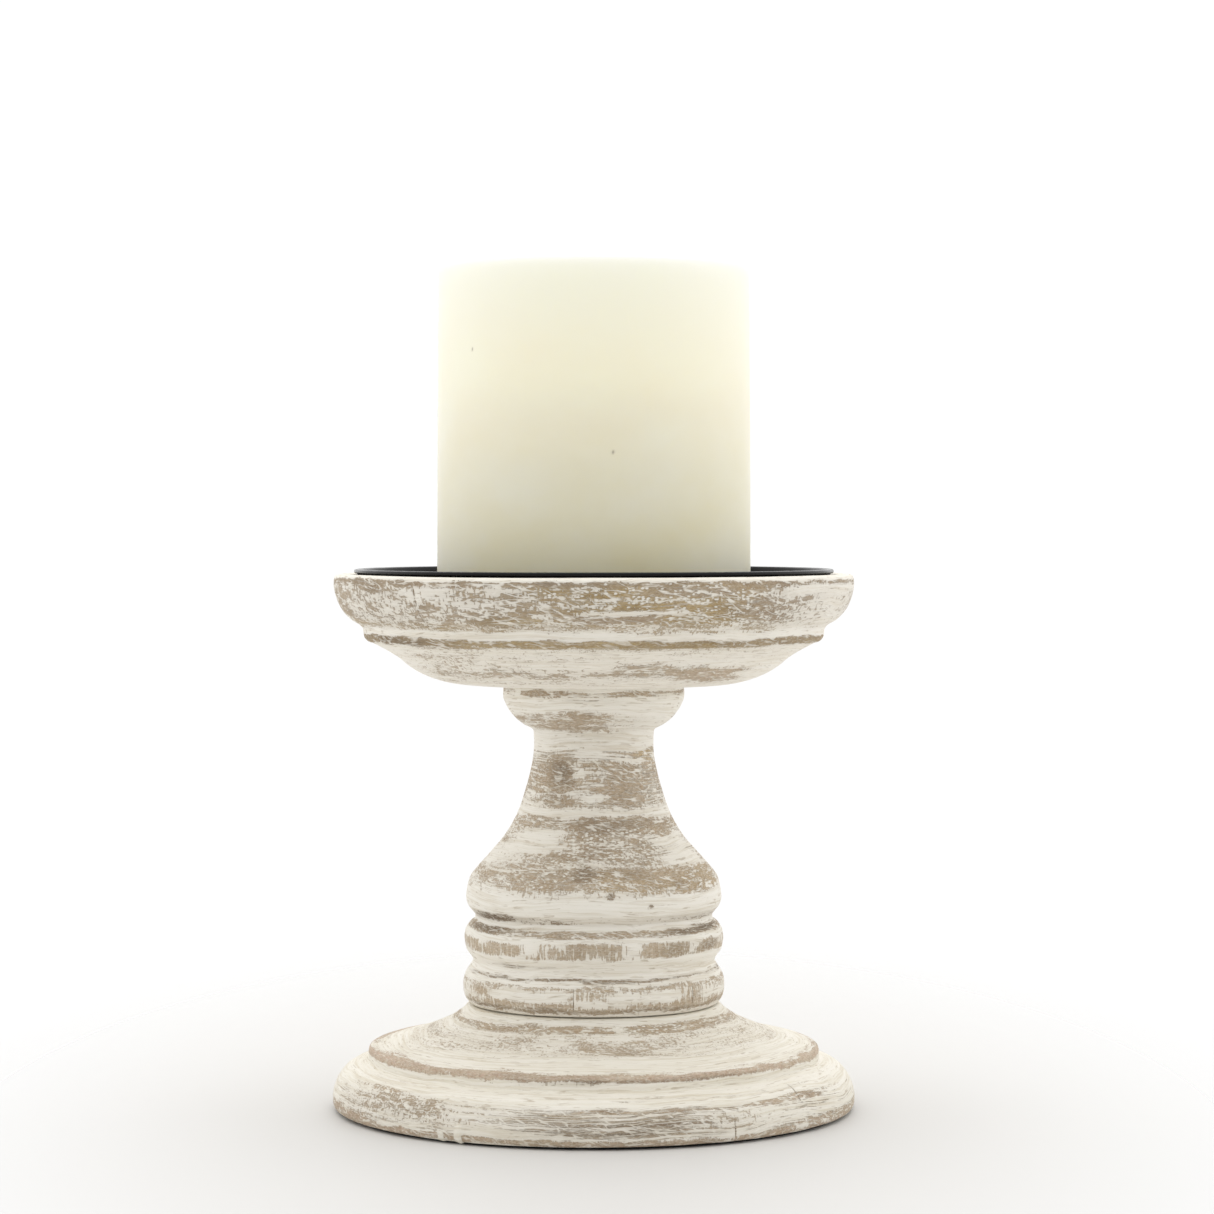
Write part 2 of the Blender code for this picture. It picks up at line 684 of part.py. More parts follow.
def main():
    clear_scene()
    steel = material("zinc_plated_steel", (0.62, 0.62, 0.60), 0.35, 1.0)
    make_base(material("whitewashed_wood_base", (0.80, 0.77, 0.70), 0.75))
    make_stem(material("whitewashed_wood_stem", (0.78, 0.74, 0.66), 0.75))
    make_dish(material("whitewashed_wood_dish", (0.78, 0.73, 0.62), 0.75))
    make_pad(material("black_felt", (0.02, 0.02, 0.02), 1.0))
    lower_seat = LOWER_COUNTERBORE_TOP - FIT - WASHER_THICKNESS - 0.2
    make_washer("lower_washer", lower_seat + 0.2, steel)
    make_screw("lower_screw", lower_seat, True, steel)
    make_washer("upper_washer", UPPER_COUNTERBORE_BOTTOM + FIT, steel)
    make_screw("upper_screw", UPPER_COUNTERBORE_BOTTOM + FIT + WASHER_THICKNESS + 0.2, False, steel)
    make_pan(material("black_enamelled_steel", (0.012, 0.012, 0.014), 0.35))
    make_wax_shell(material("ivory_wax", (0.85, 0.80, 0.62), 0.5))
    make_housing(material("ivory_plastic", (0.75, 0.72, 0.62), 0.45))
    make_cap(material("white_plastic", (0.80, 0.79, 0.75), 0.45))
    make_cap_screws(material("small_screw_steel", (0.55, 0.55, 0.55), 0.35, 1.0))
    make_door(material("ivory_door_plastic", (0.73, 0.70, 0.60), 0.45))
    make_switch(
        material("black_plastic", (0.03, 0.03, 0.03), 0.5),
        material("switch_plastic", (0.10, 0.10, 0.11), 0.5),
    )
    make_batteries(material("battery_jacket", (0.25, 0.25, 0.27), 0.3, 0.6))
    make_contacts(material("nickel_contacts", (0.75, 0.73, 0.68), 0.25, 1.0))
    make_board(material("green_board", (0.03, 0.18, 0.07), 0.5))
    make_lamp(material("amber_lamp", (0.90, 0.60, 0.20), 0.1, transmission=0.5))
    make_lens(material("frosted_lens", (0.90, 0.85, 0.72), 0.35, transmission=0.3))


main()
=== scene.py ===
"""Looks of the whitewashed candlestick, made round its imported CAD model.

Each turned CAD node is turned again from its own outline, finely enough to carry real relief, and gets the
fields that its material reads: how bare the wood is at each point, in which pattern, and in which tone.
Azimuths are in degrees to the right of the front, which faces -Y. Sizes and heights are in millimetres.
"""

import itertools
import json
import math

import bmesh
import bpy
import numpy as np
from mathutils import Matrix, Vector


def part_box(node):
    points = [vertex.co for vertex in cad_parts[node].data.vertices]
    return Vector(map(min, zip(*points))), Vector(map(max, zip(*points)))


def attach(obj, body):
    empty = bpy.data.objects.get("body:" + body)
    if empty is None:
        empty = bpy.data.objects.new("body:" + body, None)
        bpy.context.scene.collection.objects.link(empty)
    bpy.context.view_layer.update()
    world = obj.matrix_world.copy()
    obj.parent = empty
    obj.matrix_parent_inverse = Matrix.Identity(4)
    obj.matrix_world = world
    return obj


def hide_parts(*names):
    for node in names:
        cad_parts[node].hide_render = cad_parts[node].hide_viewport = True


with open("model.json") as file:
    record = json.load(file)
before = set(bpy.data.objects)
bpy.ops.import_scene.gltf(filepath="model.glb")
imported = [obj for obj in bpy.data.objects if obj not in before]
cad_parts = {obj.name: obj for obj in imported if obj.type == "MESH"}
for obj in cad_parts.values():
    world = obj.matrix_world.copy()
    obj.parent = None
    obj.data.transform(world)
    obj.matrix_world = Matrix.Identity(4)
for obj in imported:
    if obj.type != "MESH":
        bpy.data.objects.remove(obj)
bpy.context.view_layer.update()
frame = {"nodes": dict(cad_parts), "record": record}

MM = 0.001

# Turned meshes
NEAR = 0.002  # a vertex this close to the section plane counts as on it
SHARP_TURN = math.radians(40)  # an outline bends here as an edge, and below this as a curve
FINE_STEP = 0.1  # between two points of an outline before rows are picked
EDGE_RADIUS = 0.22  # softening of every turned edge
ROW_TURN = math.radians(9)  # largest bend of the outline between two rows
WOOD_COLUMNS = 320
STEM_COLUMNS = 180
WOOD_STEP = 0.48  # between two rows of a painted surface
CLOSE_SHIFTS = (-0.6, -0.3, -0.12, 0, 0.12, 0.3, 0.6)  # extra columns round a narrow mark, in degrees

# Where the wood shows
BASE_SEEN = 28  # nothing of the base shows nearer the axis
BASE_UNDER = 1.4  # the underside is below this height
STEM_SEEN = 12.5  # the stem's tenons and bores are nearer the axis
DISH_SEAT = 22  # the stem's collar carries the dish inside this radius
DISH_WORN = 30  # the paint under the dish is whole inside this radius
DISH_RECESS = 58.9
DISH_RIM = 59.5
RECESS_HEIGHT = 125  # the recess for the pan is above this height
LEAST_TILT = -0.75  # a face that looks further inwards than this has no wear

# Marks in the paint
CRACK_WIDTH = 0.3  # degrees to each side
CRACK_DEPTH = 0.16
DRIP_WIDTH = 0.75  # degrees to each side
BASE_SKIRT = 0.5  # how far the lower edge of the base hangs round the felt
HEM_RADIUS = 61.6  # the skirt starts here and is full HEM_REACH further out
HEM_REACH = 0.8
HEM_TOP = 2.4  # the skirt starts at this height and is full HEM_RISE lower
HEM_RISE = 1.4

# Other pieces
PAN_WALL = 52  # the wall and lip of the pan are outside this radius
WAX_OUTSIDE = 36
LENS_BORE = 3.8
PAD_EDGE = 58

# Camera
FOCAL_LENGTH = 108.4
SENSOR = 36.0
CAMERA_DISTANCE = 0.8897
CAMERA_HEIGHT = 0.14494
CAMERA_PITCH = math.radians(1.4773)
CAMERA_OFFSET = 0.0032

# Stage and light
# The floor's painted shade: solid and grey near the object and in front of it, fading into the white room
# further out, soonest to the sides
FLOOR_REACH = 2.4
FLOOR_SQUEEZE = 2.1  # the floor fades this much sooner to the sides
FLOOR_FADE = (0.12, 0.44)  # from solid to clear, in metres from the axis
TENT_SEEN = 1.02  # brightness of the white room to the camera
TENT_FRONT, TENT_SIDE, TENT_BACK = 0.79, 1.24, 1.0  # its light from each side


# Noise and fields

def noise(points, seed):
    """Smooth noise from -1 to 1 at each row of points, one cell to a unit, its bits mixed by odd numbers."""
    cell = np.floor(points).astype(np.int64)
    part = points - cell
    fade = part * part * (3 - 2 * part)
    total = np.zeros(len(points))
    for corner in itertools.product((0, 1), repeat=3):
        key = (cell + corner) @ np.array((73856093, 19349663, 83492791)) + seed * 2654435761
        key = ((key & 0xFFFFFFFF) ^ ((key & 0xFFFFFFFF) >> 15)) * 2246822519 & 0xFFFFFFFF
        key = (key ^ (key >> 13)) * 3266489917 & 0xFFFFFFFF
        value = ((key ^ (key >> 16)) & 0xFFFF) / 32767.5 - 1
        total += value * np.prod(np.where(corner, fade, 1 - fade), axis=1)
    return total


def ripple(place, around, along, seed, octaves=2):
    """Noise on a turned surface whose patches measure around by along."""
    points = place["spot"] / (around, around, along)
    layers = [noise(points * 2**i, seed + i) / 2**i for i in range(octaves)]
    return sum(layers) / (2 - 2 ** (1 - octaves))


def between(value, low, high, soft):
    """1 from low to high, falling to 0 over soft at each end."""
    return np.clip((value - low) / soft + 0.5, 0, 1) * np.clip((high - value) / soft + 0.5, 0, 1)


def apart(azimuth, middle):
    """Degrees from middle to azimuth, the shorter way round."""
    return (azimuth - middle + 180) % 360 - 180


# Outlines and turned grids

def outline_of(node):
    """A turned CAD node's outline, counter-clockwise in (radius, height), and whether it is a closed ring."""
    mesh = frame["nodes"][node].data
    spots = {}
    for vertex in mesh.vertices:
        x, y, z = vertex.co / MM
        if abs(y) < NEAR and x > -NEAR:
            spots[vertex.index] = (round(x, 2) + 0.0, round(z, 2) + 0.0)
    links = {spot: set() for spot in spots.values()}
    for edge in mesh.edges:
        a, b = (spots.get(i) for i in edge.vertices)
        if a and b and a != b:
            links[a].add(b)
            links[b].add(a)
    ends = sorted(spot for spot in links if len(links[spot]) == 1)
    path = [(ends or sorted(links))[0]]
    while following := sorted(links[path[-1]] - set(path)):
        path.append(following[0])
    if ends:
        path = [p for p in [(0.0, path[0][1])] if p != path[0]] + path
        path += [p for p in [(0.0, path[-1][1])] if p != path[-1]]
    points = np.array(path)
    after = np.roll(points, -1, axis=0)
    area = np.sum(points[:, 0] * after[:, 1] - after[:, 0] * points[:, 1])
    return (points if area > 0 else points[::-1]), not ends


def curved(points, closed):
    """The outline through the same points, with its gentle bends made round."""
    before, after = np.roll(points, 1, axis=0), np.roll(points, -1, axis=0)
    if not closed:
        before[0], after[-1] = points[0], points[-1]
    into, out = points - before, after - points
    turn = np.arctan2(into[:, 0] * out[:, 1] - into[:, 1] * out[:, 0], np.sum(into * out, axis=1))
    soft = np.abs(turn) < SHARP_TURN
    if not closed:
        soft[0] = soft[-1] = False
    tangent = after - before
    tangent /= np.maximum(np.hypot(*tangent.T), 1e-9)[:, None]
    pieces = []
    for i in range(len(points) if closed else len(points) - 1):
        j = (i + 1) % len(points)
        chord = points[j] - points[i]
        size = np.hypot(*chord)
        leave = tangent[i] * size if soft[i] else chord
        arrive = tangent[j] * size if soft[j] else chord
        t = np.arange(0, 1, FINE_STEP / max(size, FINE_STEP))[:, None]
        pieces.append(
            (2 * t**3 - 3 * t**2 + 1) * points[i] + (t**3 - 2 * t**2 + t) * leave
            + (3 * t**2 - 2 * t**3) * points[j] + (t**3 - t**2) * arrive
        )
    if not closed:
        pieces.append(points[-1:])
    return np.concatenate(pieces)


def walked(points, closed):
    """The same outline in even steps, with its edges softened to EDGE_RADIUS."""
    if closed:
        points = np.concatenate([points, points[:1]])
    run = np.concatenate([[0], np.cumsum(np.hypot(*np.diff(points, axis=0).T))])
    even = np.linspace(0, run[-1], int(run[-1] / FINE_STEP) + 1)
    steps = np.stack([np.interp(even, run, points[:, k]) for k in (0, 1)], axis=1)
    reach = int(3 * EDGE_RADIUS / FINE_STEP)
    weight = np.exp(-0.5 * (np.arange(-reach, reach + 1) * FINE_STEP / EDGE_RADIUS) ** 2)
    if closed:
        padded = np.concatenate([steps[-reach - 1:-1], steps, steps[1:reach + 1]])
    else:
        padded = np.concatenate([steps[:1].repeat(reach, 0), steps, steps[-1:].repeat(reach, 0)])
    soft = np.stack([np.convolve(padded[:, k], weight / weight.sum(), "valid") for k in (0, 1)], axis=1)
    if closed:
        return soft[:-1], even[:-1]
    soft[0], soft[-1] = steps[0], steps[-1]
    return soft, even


def rows_of(node, step_at):
    """(radius, height, run, outward radius, outward height) of each row of a turned node."""
    points, closed = outline_of(node)
    steps, run = walked(curved(points, closed), closed)
    ahead = np.roll(steps, -1, axis=0) - np.roll(steps, 1, axis=0)
    if not closed:
        ahead[0], ahead[-1] = steps[1] - steps[0], steps[-1] - steps[-2]
    ahead /= np.maximum(np.hypot(*ahead.T), 1e-9)[:, None]
    heading = np.unwrap(np.arctan2(ahead[:, 1], ahead[:, 0]))
    cost = FINE_STEP / step_at(*steps.T) + np.abs(np.gradient(heading)) / ROW_TURN
    spent = np.floor(np.cumsum(cost))
    picked = np.flatnonzero(np.diff(spent, prepend=-1) > 0)
    if not closed:
        picked = np.unique(np.append(picked, len(steps) - 1))
    rows = np.column_stack([steps, run, ahead[:, 1], -ahead[:, 0]])[picked]
    return rows, closed


def grid_of(rows, azimuths):
    """Everything that the fields need to know of each point: row by row, then round the axis."""
    radius, height, run, out_r, out_z = (np.repeat(column, len(azimuths)) for column in rows.T)
    azimuth = np.tile(azimuths, len(rows))
    sine, cosine = np.sin(np.radians(azimuth)), -np.cos(np.radians(azimuth))
    return {
        "radius": radius,
        "height": height,
        "azimuth": azimuth,
        "out_r": out_r,
        "out_z": out_z,
        "sine": sine,
        "cosine": cosine,
        "spot": np.column_stack([radius * sine, radius * cosine, run]),
    }


def slant(place, seed):
    """Lets the strokes of the brush wander up and down, instead of running dead level."""
    place["spot"][:, 2] += 1.6 * ripple(place, 22, 30, seed + 70) + 0.5 * ripple(place, 7, 6, seed + 71)


def azimuths_of(columns, *close):
    """Even azimuths, with a few more round each of close, where there is something narrow to carry."""
    extra = [middle + shift for middle in close for shift in CLOSE_SHIFTS]
    return np.unique(np.round(np.append(np.linspace(-180, 180, columns, endpoint=False), extra), 3))


def grid_faces(count, columns, closed):
    """The faces of count rows of columns points, with a fan of triangles at each end of an open outline."""
    here = np.arange(count if closed else count - 1)[:, None] * columns
    there = (here + columns) % (count * columns)
    side = np.arange(columns)
    onward = (side + 1) % columns
    quads = np.stack([here + side, here + onward, there + onward, there + side], axis=-1)
    faces = quads.reshape(-1, 4).tolist()
    if closed:
        return faces
    top = (count - 1) * columns
    first = [[0, *face[2:]] for face in faces[:columns]]
    last = [[*face[:2], top] for face in faces[-columns:]]
    return first + faces[columns:-columns] + last


def carry_fields(mesh, place):
    """Stores the fields that a material reads."""
    for key in ("spot", "wear", "grain"):
        if key in place:
            attribute = mesh.attributes.new(key, "FLOAT_VECTOR", "POINT")
            attribute.data.foreach_set("vector", place[key].astype(np.float32).ravel())


def turned_piece(name, node, body, rows, closed, place, lift, look):
    """Makes a turned piece with its relief, standing for its CAD node."""
    columns = len(place["azimuth"]) // len(rows)
    radius = np.maximum(place["radius"] + lift * place["out_r"], 0)
    height = place["height"] + lift * place["out_z"]
    points = np.column_stack([radius * place["sine"], radius * place["cosine"], height]) * MM
    if not closed:
        points[:columns] = points[0] * (0, 0, 1)
        points[-columns:] = points[-1] * (0, 0, 1)
    mesh = bpy.data.meshes.new(name)
    mesh.from_pydata(points.tolist(), [], grid_faces(len(rows), columns, closed))
    mesh.shade_smooth()
    carry_fields(mesh, place)
    piece = bpy.data.objects.new(name, mesh)
    bpy.context.scene.collection.objects.link(piece)
    drop_loose(mesh)
    mesh.materials.append(look)
    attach(piece, body)
    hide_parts(node)


def drop_loose(mesh):
    """Removes the spare points that a grid has on the axis."""
    used = np.zeros(len(mesh.vertices), bool)
    corners = np.empty(len(mesh.loops), np.int32)
    mesh.loops.foreach_get("vertex_index", corners)
    used[corners] = True
    if used.all():
        return
    work = bmesh.new()
    work.from_mesh(mesh)
    work.verts.ensure_lookup_table()
    bmesh.ops.delete(work, geom=[work.verts[i] for i in np.flatnonzero(~used)], context="VERTS")
    work.to_mesh(mesh)
    work.free()


# Wear of the painted wood, and painted shade in a groove

PLAIN = {"share": 0.07, "gold": 0.0, "dark": 0.0, "lines": 0.3, "across": 0.0, "dots": 0.0}


def band(low, high, share, soft=None, **more):
    """A ring of wear: share is how much of the wood shows, and soft how far its edges spread."""
    soft = soft or min(max(0.45 * (high - low), 0.7), 2.4)
    return {"low": low, "high": high, "share": share, "soft": soft, **more}


def patch(left, right, low, high, share, soft=None, fade=None, **more):
    """Wear between two azimuths. It has a twin behind the object, mirrored and a little different."""
    fade = fade or min(max(0.6 * (right - left), 5), 20)
    return {"left": left, "right": right, "fade": fade, **band(low, high, share, soft, **more)}


def cover(item, azimuth, height, back):
    """How far one item of wear covers each point."""
    mask = between(height, item["low"], item["high"], item["soft"])
    if "left" not in item:
        return mask
    middle, half = (item["left"] + item["right"]) / 2, (item["right"] - item["left"]) / 2
    if back:
        middle = 180 - middle
    return mask * np.clip((half - np.abs(apart(azimuth, middle))) / item["fade"] + 0.5, 0, 1)


def worn(place, items, outside, seed):
    """Lays the items of wear and of painted groove shade one over another, and gives place the fields that
    the paint material reads.
    """
    azimuth = place["azimuth"] + 6 * ripple(place, 11, 1.5, seed) + 5 * ripple(place, 26, 9, seed + 3)
    height = place["height"] + 0.55 * ripple(place, 5, 0.9, seed + 5) + 0.5 * ripple(place, 30, 30, seed + 9)
    fields = {key: np.full(len(azimuth), value) for key, value in PLAIN.items()}
    changes = [np.clip(0.9 + 0.5 * ripple(place, 30, 6, seed + 20 + i), 0, 1) for i in range(3)]
    for count, item in enumerate(items):
        for back in ((False, True) if "left" in item else (False,)):
            mask = cover(item, azimuth, height, back)
            if back:
                mask = mask * changes[count % 3]
            for key in PLAIN:
                if key in item:
                    fields[key] += (item[key] - fields[key]) * mask
    share = fields["share"]
    share = share + 1.3 * ripple(place, 12, 2.0, seed + 40) * share * (1 - share)
    share = np.clip(share - 0.8 * np.maximum(ripple(place, 8, 2.4, seed + 44) - 0.1, 0) * share, 0, 0.95)
    share = np.where(outside, share, 0.05)
    tone = 0.25 * ripple(place, 25, 8, seed + 50)
    # the dark field: grime and darker bare wood, and the painted shade of the stem's groove
    grime_and_shade = fields["dark"] + 0.45 * np.maximum(ripple(place, 9, 3, seed + 55), -0.1) * share
    place["wear"] = np.column_stack([share, fields["gold"] + tone, grime_and_shade])
    place["grain"] = np.column_stack([fields["lines"], fields["across"], fields["dots"]])
    return share


def wood_relief(place, share, seed):
    """Height of the finish: hand-sanded unevenness, tool rings, brush ridges and the missing paint."""
    sanded = 0.10 * ripple(place, 26, 14, seed + 60)
    rings = 0.022 * ripple(place, 900, 0.8, seed + 61)
    brush = 0.03 * ripple(place, 10, 0.55, seed + 62)
    grit = 0.02 * ripple(place, 1.8, 0.7, seed + 63)
    return sanded + rings + brush + grit - 0.07 * share


def dent(place, azimuth, height, size, depth):
    """The relief of a small round dent."""
    sideways = np.radians(apart(place["azimuth"], azimuth)) * place["radius"]
    away = np.hypot(sideways, place["height"] - height) / size
    return -depth * np.exp(-(away**2))


def cracked(place, outside, azimuth, low, high):
    """Darkens a fine upright glue line, and gives its relief."""
    away = np.abs(apart(place["azimuth"], azimuth))
    wander = 0.12 * ripple(place, 400, 1.5, int(azimuth * 7) % 91)
    depth = np.clip(1 - np.abs(away + wander) / CRACK_WIDTH, 0, 1) * between(place["height"], low, high, 0.6)
    stain(place, depth * outside, 0.9)
    return -CRACK_DEPTH * depth * outside


def dripped(place, outside, azimuth, top, thickness):
    """Covers a run of paint down to the lower edge, and gives its relief."""
    away = np.abs(apart(place["azimuth"], azimuth))
    run = np.clip(1 - away / DRIP_WIDTH, 0, 1) ** 0.5 * between(place["height"], -5, top, 0.8) * outside
    place["wear"][:, 0] *= np.clip(1 - 2 * run, 0, 1)
    return thickness * run


def dented(place, outside, azimuth, height, size, depth, stained):
    """Rubs and darkens a dent as much as stained says, and gives its relief."""
    hollow = dent(place, azimuth, height, size, depth) * outside
    stain(place, stained * np.clip(-1.6 * hollow / depth, 0, 1), 0.8)
    return hollow


def stain(place, amount, dark):
    """Takes the paint off and darkens the wood by amount, the darkening times dark."""
    place["wear"][:, 0] = np.maximum(place["wear"][:, 0], amount)
    place["wear"][:, 2] = np.maximum(place["wear"][:, 2], dark * amount)


def hang(place, drop):
    """Lowers the outer bottom edge."""
    hem = np.clip((place["radius"] - HEM_RADIUS) / HEM_REACH, 0, 1)
    hem *= np.clip((HEM_TOP - place["height"]) / HEM_RISE, 0, 1)
    place["height"] = place["height"] - drop * hem


DISH_WEAR = (
    band(104, 110, 0.22, lines=0.15, across=0.2),
    band(110, 113.8, 0.2, across=0.4, lines=0.0),
    band(113.9, 115.7, 0.95, soft=0.7, lines=0.5, across=0.4, dark=0.45, gold=0.6),
    band(115.8, 117.4, 0.02, soft=0.5, lines=0.8),
    band(117.5, 119.6, 0.48, lines=0.0, across=0.5, gold=0.4, dark=0.1),
    band(119.6, 127.6, 0.46, lines=0.1, dark=0.3),
    band(127.7, 129.2, 0.9, soft=0.6, lines=0.3, dark=0.3),
    patch(-80, -64, 118.5, 128, 0.75, lines=0.0, across=0.3, dark=0.15),
    patch(-64, -40, 118, 128, 0.56, lines=0.0, across=0.25, dark=0.4),
    patch(-41, -34, 118, 127, 0.7, lines=0.1, dark=0.2),
    patch(-35, -27, 123, 128, 0.22),
    patch(-30, -4, 119, 128, 0.66, lines=0.25, gold=0.4, dark=0.3),
    patch(-26, -5, 119, 121, 0.85, lines=0.7, gold=0.9),
    patch(-15, 1, 126, 128, 0.8, lines=0.6, gold=0.6),
    patch(-5, 36, 119.5, 128.5, 0.92, lines=0.25, gold=0.95, dots=0.35, dark=0.3),
    patch(-5, 11, 120, 121.6, 1.0, lines=0.3, gold=-0.1, dots=0.0),
    patch(0, 17, 121.6, 122.6, 0.12, lines=0.3, dots=0.0),
    patch(4, 26, 124.7, 125.3, 0.15, lines=0.5),
    patch(-6, 6, 123.2, 124.2, 0.45, lines=0.5),
    patch(13, 30, 126, 128, 0.95, gold=0.1, dots=0.35),
    patch(35, 52, 119, 127.5, 0.62, lines=0.1, gold=0.1, dark=0.3),
    patch(52, 82, 117.8, 128, 0.26, lines=0.25),
    patch(52, 80, 126, 128.2, 0.2, lines=0.9),
    patch(-78, -40, 113.9, 115.8, 0.95, soft=0.7, dark=0.7, lines=0.4),
    patch(-40, -10, 113.9, 115.6, 0.88, soft=0.7, dark=0.35, gold=0.8),
    patch(-10, 36, 113.5, 115.6, 0.97, soft=0.7, dark=0.3, gold=1.0, across=0.5, lines=0.4),
    patch(36, 60, 114.2, 115.7, 0.82, dark=0.45, gold=0.5, lines=0.4),
    patch(-34, 36, 112.6, 113.8, 0.3, across=0.8, lines=0.0),
    patch(-60, -34, 105.5, 113.5, 0.5, lines=0.0, across=0.35),
    patch(-35, -5, 107.5, 112, 0.3, lines=0.0, across=0.3),
    patch(-33, -20, 107.2, 108.4, 0.7, lines=0.6),
    patch(-20, -5, 105.5, 108.5, 0.55, lines=0.0, across=0.2),
    patch(2, 31, 106, 109.8, 0.56, lines=0.7, gold=0.3),
    patch(28, 53, 105.2, 108.9, 0.88, lines=0.3, gold=-0.35),
    patch(53, 80, 104.5, 110, 0.12),
)

STEM_WEAR = (
    band(25.8, 26.8, 0.15, dark=0.3),
    band(27.0, 29.5, 0.66, across=0.6, lines=0.1),
    band(29.5, 32.0, 0.42, across=0.7, lines=0.0),
    band(32.0, 33.1, 0.72, soft=0.9, across=0.4, lines=0.2),
    # painted shade: dark in this groove, where its shadow falls
    band(34.2, 34.8, 0.62, lines=0.9, dark=0.5),
    band(35.0, 39.2, 0.03, lines=0.9),
    band(39.5, 43.0, 0.72, soft=0.7, across=0.85, lines=0.0, gold=0.1),
    band(43.0, 44.2, 0.1),
    band(44.4, 46.1, 0.8, soft=0.7, lines=0.7, gold=0.1),
    band(46.2, 47.1, 0.02, soft=0.5),
    band(47.3, 49.2, 0.35, soft=0.9, across=0.2, lines=0.5, dark=0.5),
    band(49.5, 54.6, 0.04, lines=0.4),
    band(54.7, 61.0, 0.62, lines=0.3, gold=0.15),
    band(61.0, 69.0, 0.42, lines=0.35),
    band(69.0, 72.0, 0.72, lines=0.4),
    band(72.4, 74.2, 0.08, lines=0.5),
    band(74.5, 85.5, 0.72, lines=0.45),
    band(85.5, 88.5, 0.4, lines=0.8),
    band(88.5, 92.8, 0.08, lines=0.7, dark=0.15),
    band(92.8, 96.6, 0.55, lines=0.5),
    band(96.9, 100.8, 0.03, lines=0.5),
    band(101.2, 102.3, 0.7, lines=0.8),
    patch(-66, -53, 29.5, 32, 0.8, across=0.7),
    patch(-49, -10, 29.4, 31.8, 0.05, fade=6, across=0.5),
    patch(7, 24, 30.0, 31.4, 0.08, fade=6, across=0.5),
    patch(25, 39, 29.2, 31.9, 0.06, fade=6, across=0.4),
    patch(39, 50, 28, 33, 0.75, across=0.8),
    patch(-75, -9, 27.0, 27.8, 0.95, dark=0.8),
    patch(-75, 80, 27.0, 27.7, 0.85, dark=0.45),
    patch(-56, -22, 37.0, 37.6, 0.8, lines=1.0, dark=0.8),
    # painted shade: dark in the same groove, where its shadow falls
    patch(-60, 10, 34.2, 34.8, 0.8, soft=0.5, dark=0.7, lines=0.9),
    patch(-70, -36, 39.6, 43, 0.78, across=0.9, gold=0.2),
    patch(-35, -28, 39.5, 43.2, 0.08, fade=4, across=0.8),
    patch(-28, -13, 39.5, 43.2, 0.45, across=1.0, fade=6),
    patch(-12, 15, 39.3, 43.2, 0.84, across=1.0, dark=0.25),
    patch(15, 24, 39.3, 43.2, 0.12, across=0.9, fade=6),
    patch(25, 33, 40, 43, 0.85, across=0.8, fade=6),
    patch(33, 53, 39.8, 42.8, 0.9, across=0.8, dark=0.45, gold=0.2),
    patch(53, 58, 39.5, 43, 0.1, across=0.8, fade=4),
    patch(58, 70, 40, 42.7, 0.92, across=0.5, dark=0.5),
    patch(-80, -45, 44.6, 46.1, 0.97, dark=0.8),
    patch(38, 80, 44.4, 46.0, 0.95, soft=0.7, dark=0.8),
    patch(-70, -35, 47.3, 49.2, 0.85, dark=0.9, lines=0.4),
    patch(-35, -12, 47.3, 49.0, 0.55, dark=0.6, lines=0.3, across=0.3),
    patch(-12, 48, 47.6, 49.1, 0.25, dark=0.3, across=0.5),
    patch(-60, -40, 55, 61.5, 0.55, lines=0.6),
    patch(-40, -10, 54.6, 61, 0.86, lines=0.2, gold=0.15, dots=0.15),
    patch(-9, 1, 57.5, 61.3, 1.0, dark=0.45, dots=0.1),
    patch(0, 16, 55.2, 61, 0.8, gold=0.35, lines=0.2),
    patch(15, 76, 54.8, 60.8, 0.88, gold=0.3, lines=0.3),
    patch(38, 47, 55.4, 57.6, 1.0, dark=0.4),
    patch(34, 66, 60.8, 61.6, 0.1),
    patch(-62, -24, 63.8, 69.2, 0.05, lines=0.2),
    patch(-16, 41, 62, 69, 0.86, lines=0.1, dots=0.5, dark=0.15),
    patch(14, 31, 62.5, 66.5, 0.7, lines=0.1, dots=0.75),
    patch(-35, 30, 61.2, 62.4, 0.6, soft=0.9, dots=0.6),
    patch(41, 80, 62, 68, 0.22, lines=0.9),
    patch(-65, -30, 69.5, 72.2, 0.62, lines=0.5),
    patch(-10, 46, 67.8, 72, 0.97, dark=0.2, lines=0.3),
    patch(-10, 21, 68.5, 72, 1.0, dark=0.45),
    patch(45, 66, 67, 70.4, 0.95, gold=0.1, lines=0.4),
    patch(-45, -17, 75, 86, 0.92, dark=0.3, gold=0.1, lines=0.5),
    patch(-36, -20, 80, 84.5, 1.0, dark=0.75, lines=0.5),
    patch(-17, -7, 81, 86, 0.2, lines=0.3, fade=6),
    patch(-7, 12, 74.8, 78.2, 0.45, lines=0.6, gold=-0.2),
    patch(-5, 13, 79.6, 80.4, 0.12, lines=0.8),
    patch(0, 19, 81.6, 82.4, 0.2, lines=0.8),
    patch(-21, -12, 77.6, 78.4, 0.15, lines=0.8),
    patch(10, 46, 75, 85, 0.93, dark=0.1, lines=0.4),
    patch(46, 80, 75, 86, 0.6, lines=0.8, gold=0.1),
    patch(-80, -60, 75, 86, 0.5, lines=0.8, gold=0.1),
    patch(45, 80, 85, 88, 0.5, lines=0.9, gold=0.7),
    patch(-66, -20, 93, 96.3, 0.7, lines=0.75),
    patch(-20, 12, 92.8, 97.2, 0.95, lines=0.3),
    patch(12, 42, 93, 97, 0.4, lines=0.6),
    patch(42, 80, 93, 97, 0.1, lines=0.8),
    patch(-53, -10, 101.1, 102.5, 0.96, dark=0.2, lines=0.7),
    patch(-57, -52, 101, 102.5, 0.05, fade=2.5),
    patch(-24, 12, 99.9, 100.6, 0.45, lines=1.0, dark=0.3),
)

